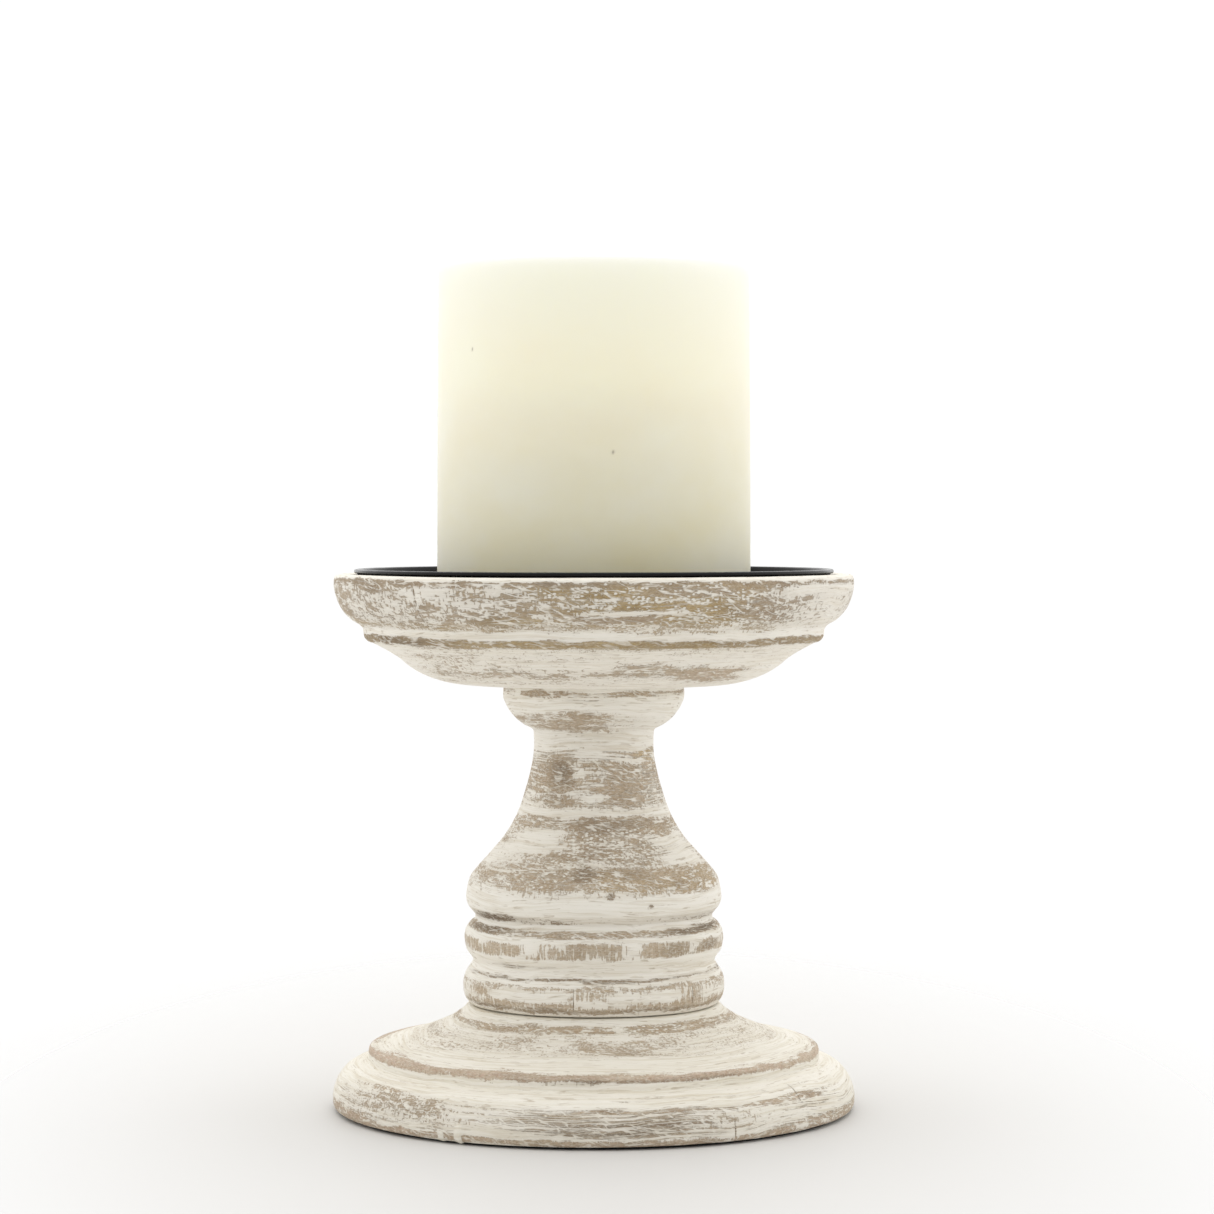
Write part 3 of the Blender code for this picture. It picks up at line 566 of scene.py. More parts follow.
BASE_WEAR = (
    band(0.6, 2.4, 0.97, soft=0.8, gold=-0.35, dark=0.1, across=0.4, lines=0.2),
    band(2.6, 9.2, 0.26, soft=0.8, lines=0.9),
    band(9.4, 13.8, 0.03, lines=0.5),
    band(14.1, 15.7, 0.95, soft=0.7, gold=-0.6, across=0.7, lines=0.0),
    band(15.9, 17.9, 0.02, lines=0.3),
    band(18.2, 21.8, 0.44, lines=0.0, across=0.3),
    band(22.3, 23.7, 0.78, soft=0.8, lines=0.5, gold=0.2),
    band(23.8, 25.5, 0.05, lines=0.4),
    patch(45, 82, 1.0, 3.6, 0.85, gold=-0.4, lines=0.6),
    patch(-82, -54, 1.0, 4.0, 0.85, gold=-0.4, lines=0.6),
    patch(-66, -27, 4.4, 9.4, 0.58, lines=0.0, across=0.1, gold=0.1, dark=0.3),
    patch(-72, -44, 9.3, 10.4, 0.55, lines=0.3, gold=0.1),
    patch(-20, 26, 2.6, 8.0, 0.46, lines=1.0, dark=0.35),
    patch(-14, 16, 3.6, 4.4, 0.66, lines=1.0, dark=0.75),
    patch(-10, 30, 5.4, 6.0, 0.58, lines=1.0, dark=0.65),
    patch(-14, 60, 8.2, 9.1, 0.62, lines=0.9, gold=-0.2),
    patch(-2, 5, 8.2, 9.1, 0.9, dark=0.5),
    patch(38, 60, 8.1, 9.4, 0.92, lines=0.8, gold=-0.3),
    patch(5, 62, 10.5, 11.0, 0.42, soft=0.5, lines=1.0),
    patch(24, 45, 4.5, 7.8, 0.32, lines=0.2, across=0.1),
    patch(-82, -50, 13.9, 16.3, 0.95, soft=0.8, gold=-0.6, across=0.6),
    patch(-50, -20, 14.1, 15.9, 0.97, soft=0.7, gold=-0.6, across=0.8),
    patch(-20, 40, 14.1, 14.5, 1.0, soft=0.5, dark=0.8),
    patch(-20, 5, 13.4, 14.0, 0.45, soft=0.9, dark=0.6, lines=0.7),
    patch(-36, -19, 19.8, 21.6, 0.65, lines=0.3),
    patch(-36, -14, 18.7, 19.6, 0.6, lines=0.4),
    patch(-9, 1, 19.3, 21.6, 0.62, lines=0.2),
    patch(2, 22, 18.2, 19.9, 0.66, lines=0.5),
    patch(0, 18, 19.8, 20.6, 0.5, lines=0.5),
    patch(19, 34, 18.6, 21.3, 0.55, lines=0.3),
    patch(-80, -40, 18.0, 22, 0.33, across=0.3, lines=0.0),
    patch(34, 80, 18.2, 21.8, 0.3, across=0.8, lines=0.0),
    patch(-43, -16, 22.2, 23.8, 0.7, lines=0.1, dark=0.1),
    patch(-16, -13, 22.2, 23.8, 0.05, fade=2),
    patch(-13, 10, 22.2, 23.8, 1.0, soft=0.7, lines=0.3, gold=0.3),
    patch(10, 17, 22.2, 23.8, 0.3, fade=4, dots=0.4),
    patch(17, 42, 22.3, 23.8, 0.85, dots=0.35, gold=0.3),
    patch(42, 66, 23.0, 23.8, 0.85, lines=0.7, gold=0.2),
)

# Fine marks: cracks are (azimuth, low, high), drips are (azimuth, top, thickness),
# and dents are (azimuth, height, size, depth, stain)
BASE_MARKS = {
    "cracks": ((31, 1.5, 5.6), (51, 7.8, 11.2), (-142, 2.0, 9.0), (118, 2.0, 8.0)),
    "drips": ((-29, 4.6, 0.42), (-33.4, 2.6, 0.2), (152, 5.0, 0.4)),
    "dents": ((-61, 2.6, 1.1, 0.3, 0), (64, 3.0, 0.9, 0.25, 0), (160, 4, 1.2, 0.3, 0)),
}
STEM_MARKS = {
    "cracks": ((-8.5, 27.4, 32.6), (48, 28.0, 32.4), (171, 27.4, 43.0), (-128, 40.0, 46.0)),
    "drips": (),
    "dents": (
        (7.5, 54.4, 0.75, 0.28, 1), (26, 51.8, 0.5, 0.15, 0.8),
        (-70, 41, 0.8, 0.25, 0), (150, 58, 1.0, 0.3, 0),
    ),
}
DISH_MARKS = {
    "cracks": ((-41, 118.5, 127.5), (139, 117.5, 128.0)),
    "drips": (),
    "dents": ((44, 126.5, 0.8, 0.2, 0), (-160, 123, 1.1, 0.3, 0)),
}


def painted_wood(name, columns, wear, marks, seed, step_at, exposed, look, skirt=0.0):
    """One of the three painted pieces of wood, from its CAD node of the same name."""
    rows, closed = rows_of(name, step_at)
    place = grid_of(rows, azimuths_of(columns, *(mark[0] for kind in marks.values() for mark in kind)))
    hang(place, skirt)
    outside = exposed(place["radius"], place["height"]) & (place["out_r"] > LEAST_TILT)
    share = worn(place, wear, outside, seed)
    slant(place, seed)
    lift = wood_relief(place, share, seed)
    for kind, carve in (("cracks", cracked), ("drips", dripped), ("dents", dented)):
        for mark in marks[kind]:
            lift += carve(place, outside, *mark)
    lift = np.where(place["radius"] < rows[:, 0].max() * 0.2, 0, lift)
    turned_piece(name + "_wood", name, "stand", rows, closed, place, lift, look)


# Node helpers

def tree(name):
    """A new material, its node tree and its Principled shader."""
    look = bpy.data.materials.new(name)
    look.use_nodes = True
    return look, look.node_tree, look.node_tree.nodes["Principled BSDF"]


def linear(red, green, blue):
    """A colour given as 0 to 255 display values."""
    def one(value):
        value /= 255
        return value / 12.92 if value <= 0.04045 else ((value + 0.055) / 1.055) ** 2.4
    return one(red), one(green), one(blue), 1.0


def plug(nodes, node, inputs):
    """Gives each input a link where its value is a socket, and else the plain value."""
    for key, value in dict(inputs).items():
        if isinstance(value, bpy.types.NodeSocket):
            nodes.links.new(value, node.inputs[key])
        else:
            node.inputs[key].default_value = value


def add(nodes, kind, inputs=(), **settings):
    """A new node with its inputs and settings."""
    node = nodes.nodes.new("ShaderNode" + kind)
    for key, value in settings.items():
        setattr(node, key, value)
    plug(nodes, node, inputs)
    return node


def maths(nodes, operation, *values):
    """One sum on plain numbers or sockets."""
    return add(nodes, "Math", enumerate(values), operation=operation).outputs[0]


def times(nodes, first, second):
    """Two numbers multiplied."""
    return maths(nodes, "MULTIPLY", first, second)


def rest_of(nodes, value):
    """What value leaves of 1."""
    return maths(nodes, "SUBTRACT", 1.0, value)


def scaled(nodes, vector, scale):
    """The vector times one number."""
    return add(nodes, "VectorMath", {0: vector, "Scale": scale}, operation="SCALE").outputs[0]


def stretched(nodes, vector, scale):
    """The vector times three numbers."""
    return add(nodes, "VectorMath", {0: vector, 1: scale}, operation="MULTIPLY").outputs[0]


def ranged(nodes, value, low, high, to_low=0.0, to_high=1.0, smooth=False):
    """value moved from low..high to to_low..to_high, and held there."""
    inputs = {"Value": value, "From Min": low, "From Max": high, "To Min": to_low, "To Max": to_high}
    kind = "SMOOTHSTEP" if smooth else "LINEAR"
    return add(nodes, "MapRange", inputs, interpolation_type=kind).outputs["Result"]


def ranged_mix(nodes, amount, first, second):
    """A plain number between first and second."""
    inputs = {0: amount, 2: first, 3: second}
    return add(nodes, "Mix", inputs, data_type="FLOAT").outputs[0]


def stretched_noise(nodes, place, scale, detail=2.0, roughness=0.55, distortion=0.0):
    """Noise over place, a vector in millimetres, with scale in cells to a millimetre."""
    inputs = {"Vector": stretched(nodes, place, scale), "Scale": 1.0, "Detail": detail}
    inputs.update({"Roughness": roughness, "Distortion": distortion})
    return add(nodes, "TexNoise", inputs).outputs["Fac"]


def hairs(nodes, place, scale, width, amount):
    """Short thin strokes: the broken contours of a stretched noise."""
    waves = stretched_noise(nodes, place, scale, 1.5, 0.5, 0.4)
    away = maths(nodes, "ABSOLUTE", maths(nodes, "SUBTRACT", waves, 0.5))
    where = stretched_noise(nodes, place, (0.3, 0.3, 0.9), 2.0, 0.5)
    line = ranged(nodes, away, 0.4 * width, width, 1.0, 0.0)
    return times(nodes, line, ranged(nodes, where, amount, amount + 0.08))


def layered(nodes, colour, *layers):
    """The colour under layers of (amount, colour), each over the ones before it."""
    for amount, over in layers:
        colour = add(nodes, "Mix", {0: amount, 6: colour, 7: over}, data_type="RGBA").outputs[2]
    return colour


def millimetres(nodes):
    """The point's place in the object, in millimetres."""
    return scaled(nodes, add(nodes, "TexCoord").outputs["Object"], 1000.0)


def bumped(nodes, height, depth):
    """The normal of a surface that rises by up to depth."""
    return add(nodes, "Bump", {"Height": height, "Distance": depth * MM}).outputs[0]


# Materials

def wear_fields(nodes, seed):
    """The fields that the mesh carries, with its surface places shifted so that no two pieces match."""
    spot = add(nodes, "Attribute", attribute_name="spot").outputs["Vector"]
    fields = {"spot": add(nodes, "VectorMath", {0: spot, 1: (seed,) * 3}, operation="ADD").outputs[0]}
    for key, parts in (("wear", ("share", "gold", "dark")), ("grain", ("lines", "across", "dots"))):
        vector = add(nodes, "Attribute", attribute_name=key).outputs["Vector"]
        fields.update(zip(parts, add(nodes, "SeparateXYZ", {0: vector}).outputs))
    return fields


def broken_paint(nodes, fields, broken, strokes, bristles):
    """1 where the paint is off and 0 where it is on, with crisp edges."""
    sideways = stretched_noise(nodes, broken, (0.5, 0.5, 1.9), 1.5, 0.5, 0.4)
    upright = stretched_noise(nodes, broken, (1.9, 1.9, 0.55), 1.5, 0.5, 0.4)
    broad = stretched_noise(nodes, fields["spot"], (0.16, 0.16, 0.35), 2.0, 0.5)
    crackle = ranged(nodes, maths(nodes, "MINIMUM", sideways, upright), 0.27, 0.60)
    level = ranged_mix(nodes, fields["lines"], crackle, ranged(nodes, strokes, 0.30, 0.70))
    level = ranged_mix(nodes, fields["across"], level, ranged(nodes, bristles, 0.30, 0.70))
    level = maths(nodes, "ADD", level, ranged(nodes, broad, 0.3, 0.7, -0.10, 0.10))
    return ranged(nodes, maths(nodes, "SUBTRACT", fields["share"], level), -0.05, 0.05, smooth=True)


def thinned(nodes, fields, crisp, coarse):
    """How bare the wood is, with the thin film and the crumbs of paint that rubbing leaves."""
    rubbed = ranged_mix(nodes, 0.34, crisp, fields["share"])
    residue = stretched_noise(nodes, fields["spot"], (1.2, 1.2, 2.8), 3.0, 0.65, 0.5)
    kept = ranged(nodes, residue, 0.50, 0.66, 0.0, 0.5 / coarse**2)
    return times(nodes, ranged(nodes, rubbed, 0.03, 0.92), rest_of(nodes, kept))


def paint_threads(nodes, fields, broken, coarse):
    """Thin strings of paint over the bare wood, some of them leaning."""
    spot = fields["spot"]
    lean = add(nodes, "VectorMath", {0: spot, 1: (0.30, 0, 0)}, operation="DOT_PRODUCT").outputs["Value"]
    lean = add(nodes, "CombineXYZ", {2: lean}).outputs[0]
    leaning = add(nodes, "VectorMath", {0: spot, 1: lean}, operation="ADD").outputs[0]
    leaning = hairs(nodes, scaled(nodes, leaning, 1 / coarse), (0.20, 0.20, 0.85), 0.050, 0.47)
    threads = maths(nodes, "MAXIMUM", leaning, hairs(nodes, broken, (0.12, 0.12, 1.0), 0.045, 0.48))
    return times(nodes, threads, ranged(nodes, fields["across"], 0.3, 0.7, 0.95, 0.15))


def paint_dots(nodes, fields):
    """Round spots of paint, as many as the dots field asks for."""
    place = stretched(nodes, fields["spot"], (0.95, 0.95, 1.7))
    cells = add(nodes, "TexVoronoi", {"Vector": place, "Scale": 1.0, "Randomness": 0.85})
    chosen = add(nodes, "SeparateColor", {0: cells.outputs["Color"]}).outputs[0]
    near = ranged(nodes, cells.outputs["Distance"], 0.34, 0.52, 1.0, 0.0)
    return times(nodes, near, maths(nodes, "LESS_THAN", chosen, fields["dots"]))


def timber_colour(nodes, fields, fibres, bristles):
    """Bare wood: grey-brown, pinkish where gold is below 0 and golden above, with pores, stains and some
    painted groove shade.
    """
    pores = stretched_noise(nodes, fields["spot"], (0.9, 0.9, 3.2), 3.0, 0.7)
    upright = times(nodes, fields["across"], 0.55)
    return layered(
        nodes, linear(194, 174, 150),
        (ranged(nodes, fields["gold"], -0.1, -0.7), linear(203, 176, 157)),
        (ranged(nodes, fields["gold"], 0.15, 1.0), linear(204, 176, 118)),
        (ranged(nodes, fibres, 0.40, 0.75, 0.0, 0.8), linear(208, 194, 170)),
        (ranged(nodes, pores, 0.60, 0.36, 0.0, 0.55), linear(138, 118, 92)),
        (times(nodes, ranged(nodes, bristles, 0.38, 0.62), upright), linear(212, 198, 174)),
        # grime, stains and painted groove shade darken the bare wood
        (ranged(nodes, fields["dark"], 0.0, 1.0, 0.0, 0.85), linear(106, 90, 72)),
    )


def paint_colour(nodes, fields, paint, crisp, dotted, coarse):
    """The white paint: streaks of wash, fine scratches, a painted highlight on the flakes and dots of paint
    beside the bare wood, and grime with some painted groove shade.
    """
    wash = stretched_noise(nodes, fields["spot"], (0.045, 0.045, 1.4), 4.0, 0.65)
    scratch = hairs(nodes, fields["spot"], (0.04, 0.04, 1.5), 0.035, 0.52)
    # painted highlight: flakes and dots of paint are whitened as though their raised edges catch the light
    flake_highlights = times(nodes, ranged(nodes, fields["share"], 0.2, 0.6), rest_of(nodes, crisp))
    flake_highlights = maths(nodes, "MAXIMUM", times(nodes, flake_highlights, 0.6), dotted)
    return layered(
        nodes, paint,
        (ranged(nodes, wash, 0.35, 0.7), linear(244, 240, 231)),
        (ranged(nodes, wash, 0.50, 0.28, 0.0, 0.65 / coarse), linear(210, 198, 177)),
        (times(nodes, scratch, 0.5), linear(168, 150, 124)),
        (flake_highlights, linear(244, 240, 230)),
        # grime, stains and painted groove shade darken the paint
        (ranged(nodes, fields["dark"], 0.0, 1.0, 0.0, 0.45), linear(176, 164, 148)),
    )


def whitewashed_wood(name, grain_scale, paint, seed, coarse=1.0):
    """Chalky white paint rubbed through to bare wood, as the wear and grain fields say."""
    look, nodes, shader = tree(name)
    fields = wear_fields(nodes, seed)
    broken = scaled(nodes, fields["spot"], 1 / coarse)
    strokes = stretched_noise(nodes, fields["spot"], (0.05, 0.05, 3.2), 3.0, 0.6, 0.1)
    bristles = stretched_noise(nodes, fields["spot"], (1.9, 1.9, 0.22), 2.5, 0.55, 0.3)
    fibres = stretched_noise(nodes, millimetres(nodes), grain_scale, 4.0, 0.65, 0.6)
    crisp = broken_paint(nodes, fields, broken, strokes, bristles)
    dotted = paint_dots(nodes, fields)
    bare = thinned(nodes, fields, crisp, coarse)
    for left in (paint_threads(nodes, fields, broken, coarse), dotted):
        bare = times(nodes, bare, rest_of(nodes, left))
    white = paint_colour(nodes, fields, paint, crisp, dotted, coarse)
    ridge = times(nodes, ranged(nodes, strokes, 0.3, 0.7), 0.35)
    ridge = maths(nodes, "SUBTRACT", ridge, bare)
    ridge = maths(nodes, "ADD", ridge, times(nodes, fibres, times(nodes, bare, 0.5)))
    plug(nodes, shader, {
        "Base Color": layered(nodes, white, (bare, timber_colour(nodes, fields, fibres, bristles))),
        "Roughness": ranged(nodes, bare, 0.0, 1.0, 0.62, 0.74),
        "Specular IOR Level": 0.28,
        "Normal": bumped(nodes, ridge, 0.16 * coarse),
    })
    return look


def ivory_wax():
    """Smooth translucent wax with faint clouding, fine specks caught in it, and painted light that makes it
    paler and whiter towards the top.
    """
    look, nodes, shader = tree("ivory_wax")
    place = millimetres(nodes)
    cloud = stretched_noise(nodes, place, (0.03, 0.03, 0.045), 3.0, 0.55)
    skin = stretched_noise(nodes, place, (0.35, 0.35, 0.10), 3.0, 0.5)
    height = add(nodes, "SeparateXYZ", {0: place}).outputs[2]
    bottom, top = (corner.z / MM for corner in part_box("wax_shell"))
    wear = add(nodes, "Attribute", attribute_name="wear").outputs["Vector"]
    tint = layered(
        nodes, linear(241, 231, 195),
        # painted light: the wax is paler and whiter towards the top and yellower towards the bottom
        (ranged(nodes, height, bottom, top), linear(247, 245, 234)),
        (ranged(nodes, cloud, 0.35, 0.65, 0.0, 0.5), linear(250, 246, 230)),
        (add(nodes, "SeparateXYZ", {0: wear}).outputs[0], linear(92, 78, 62)),
    )
    plug(nodes, shader, {
        "Base Color": tint,
        "Roughness": ranged(nodes, skin, 0.3, 0.7, 0.44, 0.52),
        "Specular IOR Level": 0.35,
        "Subsurface Weight": 1.0,
        "Subsurface Radius": (1.0, 1.0, 1.0),
        "Subsurface Scale": 0.006,
        "Normal": bumped(nodes, skin, 0.05),
    })
    return look


def black_enamel():
    """Semi-gloss black with a slight orange peel and a few dust marks."""
    look, nodes, shader = tree("black_enamel")
    place = millimetres(nodes)
    peel = stretched_noise(nodes, place, (0.9, 0.9, 0.9), 2.0, 0.5)
    scuff = stretched_noise(nodes, place, (0.05, 0.4, 0.2), 4.0, 0.65)
    plug(nodes, shader, {
        "Base Color": layered(nodes, linear(9, 9, 11), (ranged(nodes, scuff, 0.62, 0.8), linear(22, 22, 24))),
        "Roughness": ranged(nodes, scuff, 0.3, 0.75, 0.20, 0.34),
        "Specular IOR Level": 0.22,
        "Normal": bumped(nodes, peel, 0.02),
    })
    return look


# Each plain material's two tones, roughness, relief, cells to a millimetre and metallic
PLAIN_LOOKS = {
    "zinc_steel": ((196, 196, 194), (176, 178, 180), 0.34, 0.01, 2.5, 1.0),
    "ivory_plastic": ((238, 233, 216), (232, 226, 207), 0.5, 0.02, 1.2, 0.0),
    "white_plastic": ((240, 239, 234), (234, 232, 226), 0.48, 0.02, 1.2, 0.0),
    "black_plastic": ((38, 38, 39), (30, 30, 31), 0.45, 0.02, 1.2, 0.0),
    "battery_jacket": ((78, 80, 88), (66, 68, 76), 0.33, 0.01, 0.6, 0.6),
    "nickel_contact": ((212, 208, 198), (196, 190, 178), 0.28, 0.01, 3.0, 1.0),
    "board_green": ((34, 92, 58), (28, 78, 50), 0.4, 0.02, 1.5, 0.0),
    "amber_lamp": ((244, 214, 150), (238, 202, 130), 0.16, 0.004, 0.6, 0.0),
    "frosted_lens": ((247, 242, 226), (243, 236, 214), 0.36, 0.02, 0.8, 0.0),
}


def moulded(name, first, second, roughness, relief, scale, metallic):
    """A plastic or metal surface with a fine texture and two close tones."""
    look, nodes, shader = tree(name)
    place = millimetres(nodes)
    fine = stretched_noise(nodes, place, (scale,) * 3, 3.0, 0.6)
    broad = stretched_noise(nodes, place, (scale / 9,) * 3, 2.0, 0.5)
    plug(nodes, shader, {
        "Base Color": layered(nodes, linear(*first), (ranged(nodes, broad, 0.35, 0.65), linear(*second))),
        "Roughness": ranged(nodes, fine, 0.3, 0.7, roughness - 0.06, roughness + 0.06),
        "Metallic": metallic,
        "Normal": bumped(nodes, fine, relief),
    })
    return look


def plain_looks():
    """The materials of the carried-over CAD nodes, by the record's slot."""
    looks = {name: moulded(name, *values) for name, values in PLAIN_LOOKS.items()}
    lens = looks["frosted_lens"].node_tree
    glow = {"Subsurface Weight": 0.8, "Subsurface Radius": (1.0, 0.85, 0.6), "Subsurface Scale": 0.004}
    plug(lens, lens.nodes["Principled BSDF"], glow)
    return looks


def felt():
    """Short black fibres."""
    look, nodes, shader = tree("black_felt")
    place = millimetres(nodes)
    fluff = stretched_noise(nodes, place, (2.2, 2.2, 2.2), 4.0, 0.7)
    pale = (ranged(nodes, fluff, 0.35, 0.7), linear(44, 43, 44))
    plug(nodes, shader, {
        "Base Color": layered(nodes, linear(16, 16, 17), pale),
        "Roughness": 0.95,
        "Sheen Weight": 0.1,
        "Normal": bumped(nodes, fluff, 0.25),
    })
    return look


# Pieces

def base_piece():
    """The foot, whose paint hangs a little round the felt."""
    painted_wood(
        "base", WOOD_COLUMNS, BASE_WEAR, BASE_MARKS, 11,
        lambda radius, height: np.where((radius > BASE_SEEN) & (height > BASE_UNDER), WOOD_STEP, 2.2),
        lambda radius, height: radius > BASE_SEEN,
        whitewashed_wood("whitewashed_base", (0.035, 0.8, 1.6), linear(233, 228, 213), 3.0),
        skirt=BASE_SKIRT,
    )


def stem_piece():
    """The column, with its grain upright."""
    painted_wood(
        "stem", STEM_COLUMNS, STEM_WEAR, STEM_MARKS, 23,
        lambda radius, height: np.where(radius > STEM_SEEN, WOOD_STEP, 2.5),
        lambda radius, height: radius > STEM_SEEN,
        whitewashed_wood("whitewashed_stem", (1.3, 1.3, 0.07), linear(239, 235, 224), 7.0),
    )


def dish_piece():
    """The dish, whose recess for the pan has whole paint and coarse rows."""
    def outside_recess(radius, height, rim):
        return (radius > rim) | (height < RECESS_HEIGHT)
    painted_wood(
        "dish", WOOD_COLUMNS, DISH_WEAR, DISH_MARKS, 37,
        lambda radius, height: np.where(
            (radius > DISH_SEAT) & outside_recess(radius, height, DISH_RECESS), WOOD_STEP, 2.0
        ),
        lambda radius, height: (radius > DISH_WORN) & outside_recess(radius, height, DISH_RIM),
        whitewashed_wood("whitewashed_dish", (0.04, 0.8, 1.6), linear(246, 241, 229), 13.0, coarse=1.35),
    )


def pan_piece():
    """The drip pan, a little uneven as pressed sheet is."""
    rows, closed = rows_of("drip_pan", lambda radius, height: np.where(radius > PAN_WALL, 0.35, 2.0))
    place = grid_of(rows, azimuths_of(256))
    lift = 0.05 * ripple(place, 40, 20, 71) + 0.012 * ripple(place, 6, 4, 72)
    look = black_enamel()
    turned_piece("pan_enamel", "drip_pan", "pan", rows, closed, place, lift, look)


def wax_piece():
    """The wax of the candle, with a few specks as (azimuth, height, size, depth)."""
    specks = ((-88, 174.4, 0.8, 0.5), (7, 159.0, 0.28, 0.1), (-49, 183.5, 0.25, 0.1), (130, 170.0, 0.4, 0.2))
    rows, closed = rows_of("wax_shell", lambda radius, height: np.where(radius > WAX_OUTSIDE, 0.7, 1.4))
    place = grid_of(rows, azimuths_of(256, *(speck[0] for speck in specks)))
    lift = 0.09 * ripple(place, 30, 60, 81) + 0.03 * ripple(place, 9, 14, 82)
    mark = np.zeros(len(lift))
    for speck in specks:
        hollow = dent(place, *speck) * (place["radius"] > WAX_OUTSIDE)
        lift += hollow
        mark = np.maximum(mark, -hollow / speck[-1])
    place["wear"] = np.column_stack([mark * 0.6, 0 * mark, 0 * mark])
    turned_piece("wax_pillar", "wax_shell", "candle", rows, closed, place, lift, ivory_wax())


def lens_piece(look):
    """The flame-shaped cover, with three shallow twisted tongues."""
    tongues, depth, twist = 3, 0.35, 0.35
    rows, closed = rows_of("flame_lens", lambda radius, height: np.full(len(radius), 0.5))
    place = grid_of(rows, azimuths_of(96))
    height = place["height"]
    lift = depth * np.sin(np.radians(place["azimuth"]) * tongues + height * twist)
    lift *= between(height, height.min() + 4, height.max() - 1, 6) * (place["radius"] > LENS_BORE)
    turned_piece("flame_shade", "flame_lens", "candle", rows, closed, place, lift, look)


def felt_piece():
    """The felt pad, with a fuzzy edge above its flat underside."""
    rows, closed = rows_of("base_pad", lambda radius, height: np.where(radius > PAD_EDGE, 0.3, 3.0))
    place = grid_of(rows, azimuths_of(200))
    edge = np.clip((place["radius"] - PAD_EDGE) / 3, 0, 1) * (place["height"] >= 0.1)
    lift = edge * 0.12 * ripple(place, 1.5, 0.8, 91)
    turned_piece("felt_pad", "base_pad", "stand", rows, closed, place, lift, felt())


def smooth_shading():
    """A modifier group that shades bends under SHARP_TURN as curves, and keeps the sharper edges."""
    group = bpy.data.node_groups.new("smooth_shading", "GeometryNodeTree")
    for way in ("INPUT", "OUTPUT"):
        group.interface.new_socket("Geometry", in_out=way, socket_type="NodeSocketGeometry")
    start, end = group.nodes.new("NodeGroupInput"), group.nodes.new("NodeGroupOutput")
    faces, edges = (group.nodes.new("GeometryNodeSetShadeSmooth") for _ in range(2))
    edges.domain = "EDGE"
    angle = group.nodes.new("GeometryNodeInputMeshEdgeAngle")
    sharp = group.nodes.new("FunctionNodeCompare")
    sharp.operation = "GREATER_THAN"
    sharp.inputs["B"].default_value = SHARP_TURN
    group.links.new(angle.outputs["Unsigned Angle"], sharp.inputs["A"])
    group.links.new(sharp.outputs["Result"], edges.inputs["Selection"])
    edges.inputs["Shade Smooth"].default_value = False
    group.links.new(start.outputs[0], faces.inputs["Geometry"])
    group.links.new(faces.outputs[0], edges.inputs["Geometry"])
    group.links.new(edges.outputs[0], end.inputs[0])
    return group


def dress_cad_nodes(looks):
    """Gives each CAD node that stays in view the material of its slot."""
    shading = smooth_shading()
    slots = {item["node"]: item["material_slot"] for item in frame["record"]["subparts"]}
    for node, piece in frame["nodes"].items():
        if slots[node] in looks:
            piece.data.materials.clear()
            piece.data.materials.append(looks[slots[node]])
            piece.modifiers.new("smooth_shading", "NODES").node_group = shading


# Stage, light and camera

def make_floor():
    """A pale floor with painted shade: solid and grey near the object and in front of it, fading into the
    white of the room further out.
    """
    mesh = bpy.data.meshes.new("floor")
    corners = [(x * FLOOR_REACH, y * FLOOR_REACH, 0.0) for x, y in ((-1, -1), (1, -1), (1, 1), (-1, 1))]
    mesh.from_pydata(corners, [], [(0, 1, 2, 3)])
    floor = bpy.data.objects.new("floor", mesh)
    bpy.context.scene.collection.objects.link(floor)
    look, nodes, shader = tree("pale_floor")
    chalk = {"Base Color": (0.70, 0.692, 0.678, 1), "Roughness": 0.6, "Specular IOR Level": 0.2}
    plug(nodes, shader, chalk)
    place = stretched(nodes, add(nodes, "TexCoord").outputs["Object"], (FLOOR_SQUEEZE, 1, 1))
    away = add(nodes, "VectorMath", {0: place}, operation="LENGTH").outputs["Value"]
    # painted shade: the grey floor stays near the object and in front of it, and the white room shows further
    # out
    fade = ranged(nodes, away, *FLOOR_FADE, smooth=True)
    clear = add(nodes, "BsdfTransparent").outputs[0]
    mixed = add(nodes, "MixShader", {0: fade, 1: shader.outputs[0], 2: clear}).outputs[0]
    plug(nodes, nodes.nodes["Material Output"], {"Surface": mixed})
    mesh.materials.append(look)


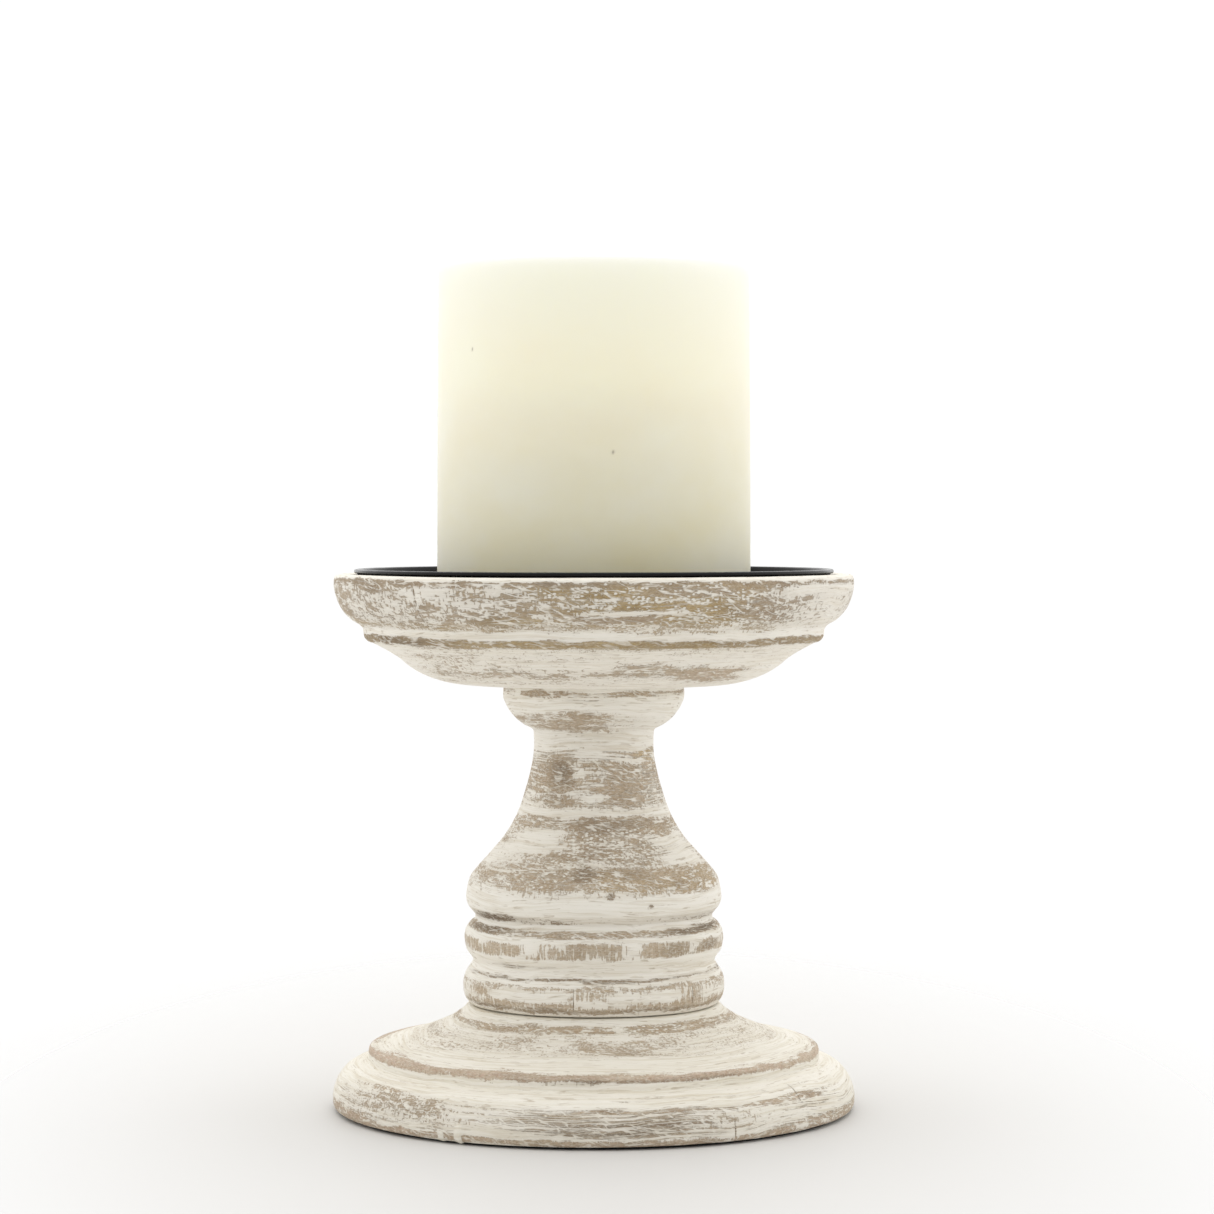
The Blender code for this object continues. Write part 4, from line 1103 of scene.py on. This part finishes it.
def area_light(name, place, target, width, height, power):
    """A lamp panel that only its light shows."""
    data = bpy.data.lights.new(name, "AREA")
    data.shape, data.size, data.size_y, data.energy = "RECTANGLE", width, height, power
    light = bpy.data.objects.new(name, data)
    light.location = place
    light.rotation_euler = (Vector(target) - Vector(place)).to_track_quat("-Z", "Y").to_euler()
    light.visible_camera = False
    bpy.context.scene.collection.objects.link(light)


def light_the_room():
    """A white tent: brightest at the sides, a little darker towards the front, and white to look at."""
    world = bpy.data.worlds.new("white_tent")
    bpy.context.scene.world = world
    world.use_nodes = True
    nodes = world.node_tree
    shown = nodes.nodes["Background"]
    plug(nodes, shown, {"Color": (1, 1, 1, 1), "Strength": TENT_SEEN})
    direction = add(nodes, "TexCoord").outputs["Generated"]
    back = add(nodes, "SeparateXYZ", {0: direction}).outputs[1]
    rising = ranged(nodes, back, -0.8, 0.2, TENT_FRONT, TENT_SIDE)
    falling = ranged(nodes, back, 0.2, 1.0, TENT_SIDE, TENT_BACK)
    strength = maths(nodes, "MINIMUM", rising, falling)
    lit = add(nodes, "Background", {"Color": (1, 0.995, 0.985, 1), "Strength": strength})
    ray = add(nodes, "LightPath").outputs["Is Camera Ray"]
    mixed = add(nodes, "MixShader", {0: ray, 1: lit.outputs[0], 2: shown.outputs[0]}).outputs[0]
    plug(nodes, nodes.nodes["World Output"], {"Surface": mixed})
    area_light("back_panel", (0, 0.85, 0.5), (0, 0, 0.08), 1.3, 0.9, 1.5)
    area_light("top_panel", (0, 0.1, 1.1), (0, 0, 0.1), 0.9, 0.9, 2.5)


def make_camera():
    """A camera straight ahead, a little above the middle of the object and tilted slightly down."""
    data = bpy.data.cameras.new("camera")
    data.lens, data.sensor_width, data.clip_end = FOCAL_LENGTH, SENSOR, 20
    camera = bpy.data.objects.new("camera", data)
    camera.location = (CAMERA_OFFSET, -CAMERA_DISTANCE, CAMERA_HEIGHT)
    camera.rotation_euler = (math.pi / 2 - CAMERA_PITCH, 0, 0)
    bpy.context.scene.collection.objects.link(camera)
    bpy.context.scene.camera = camera


bpy.context.scene.view_settings.view_transform = "Standard"
base_piece()
stem_piece()
dish_piece()
pan_piece()
wax_piece()
felt_piece()
small_looks = plain_looks()
lens_piece(small_looks["frosted_lens"])
dress_cad_nodes(small_looks)
make_floor()
light_the_room()
make_camera()
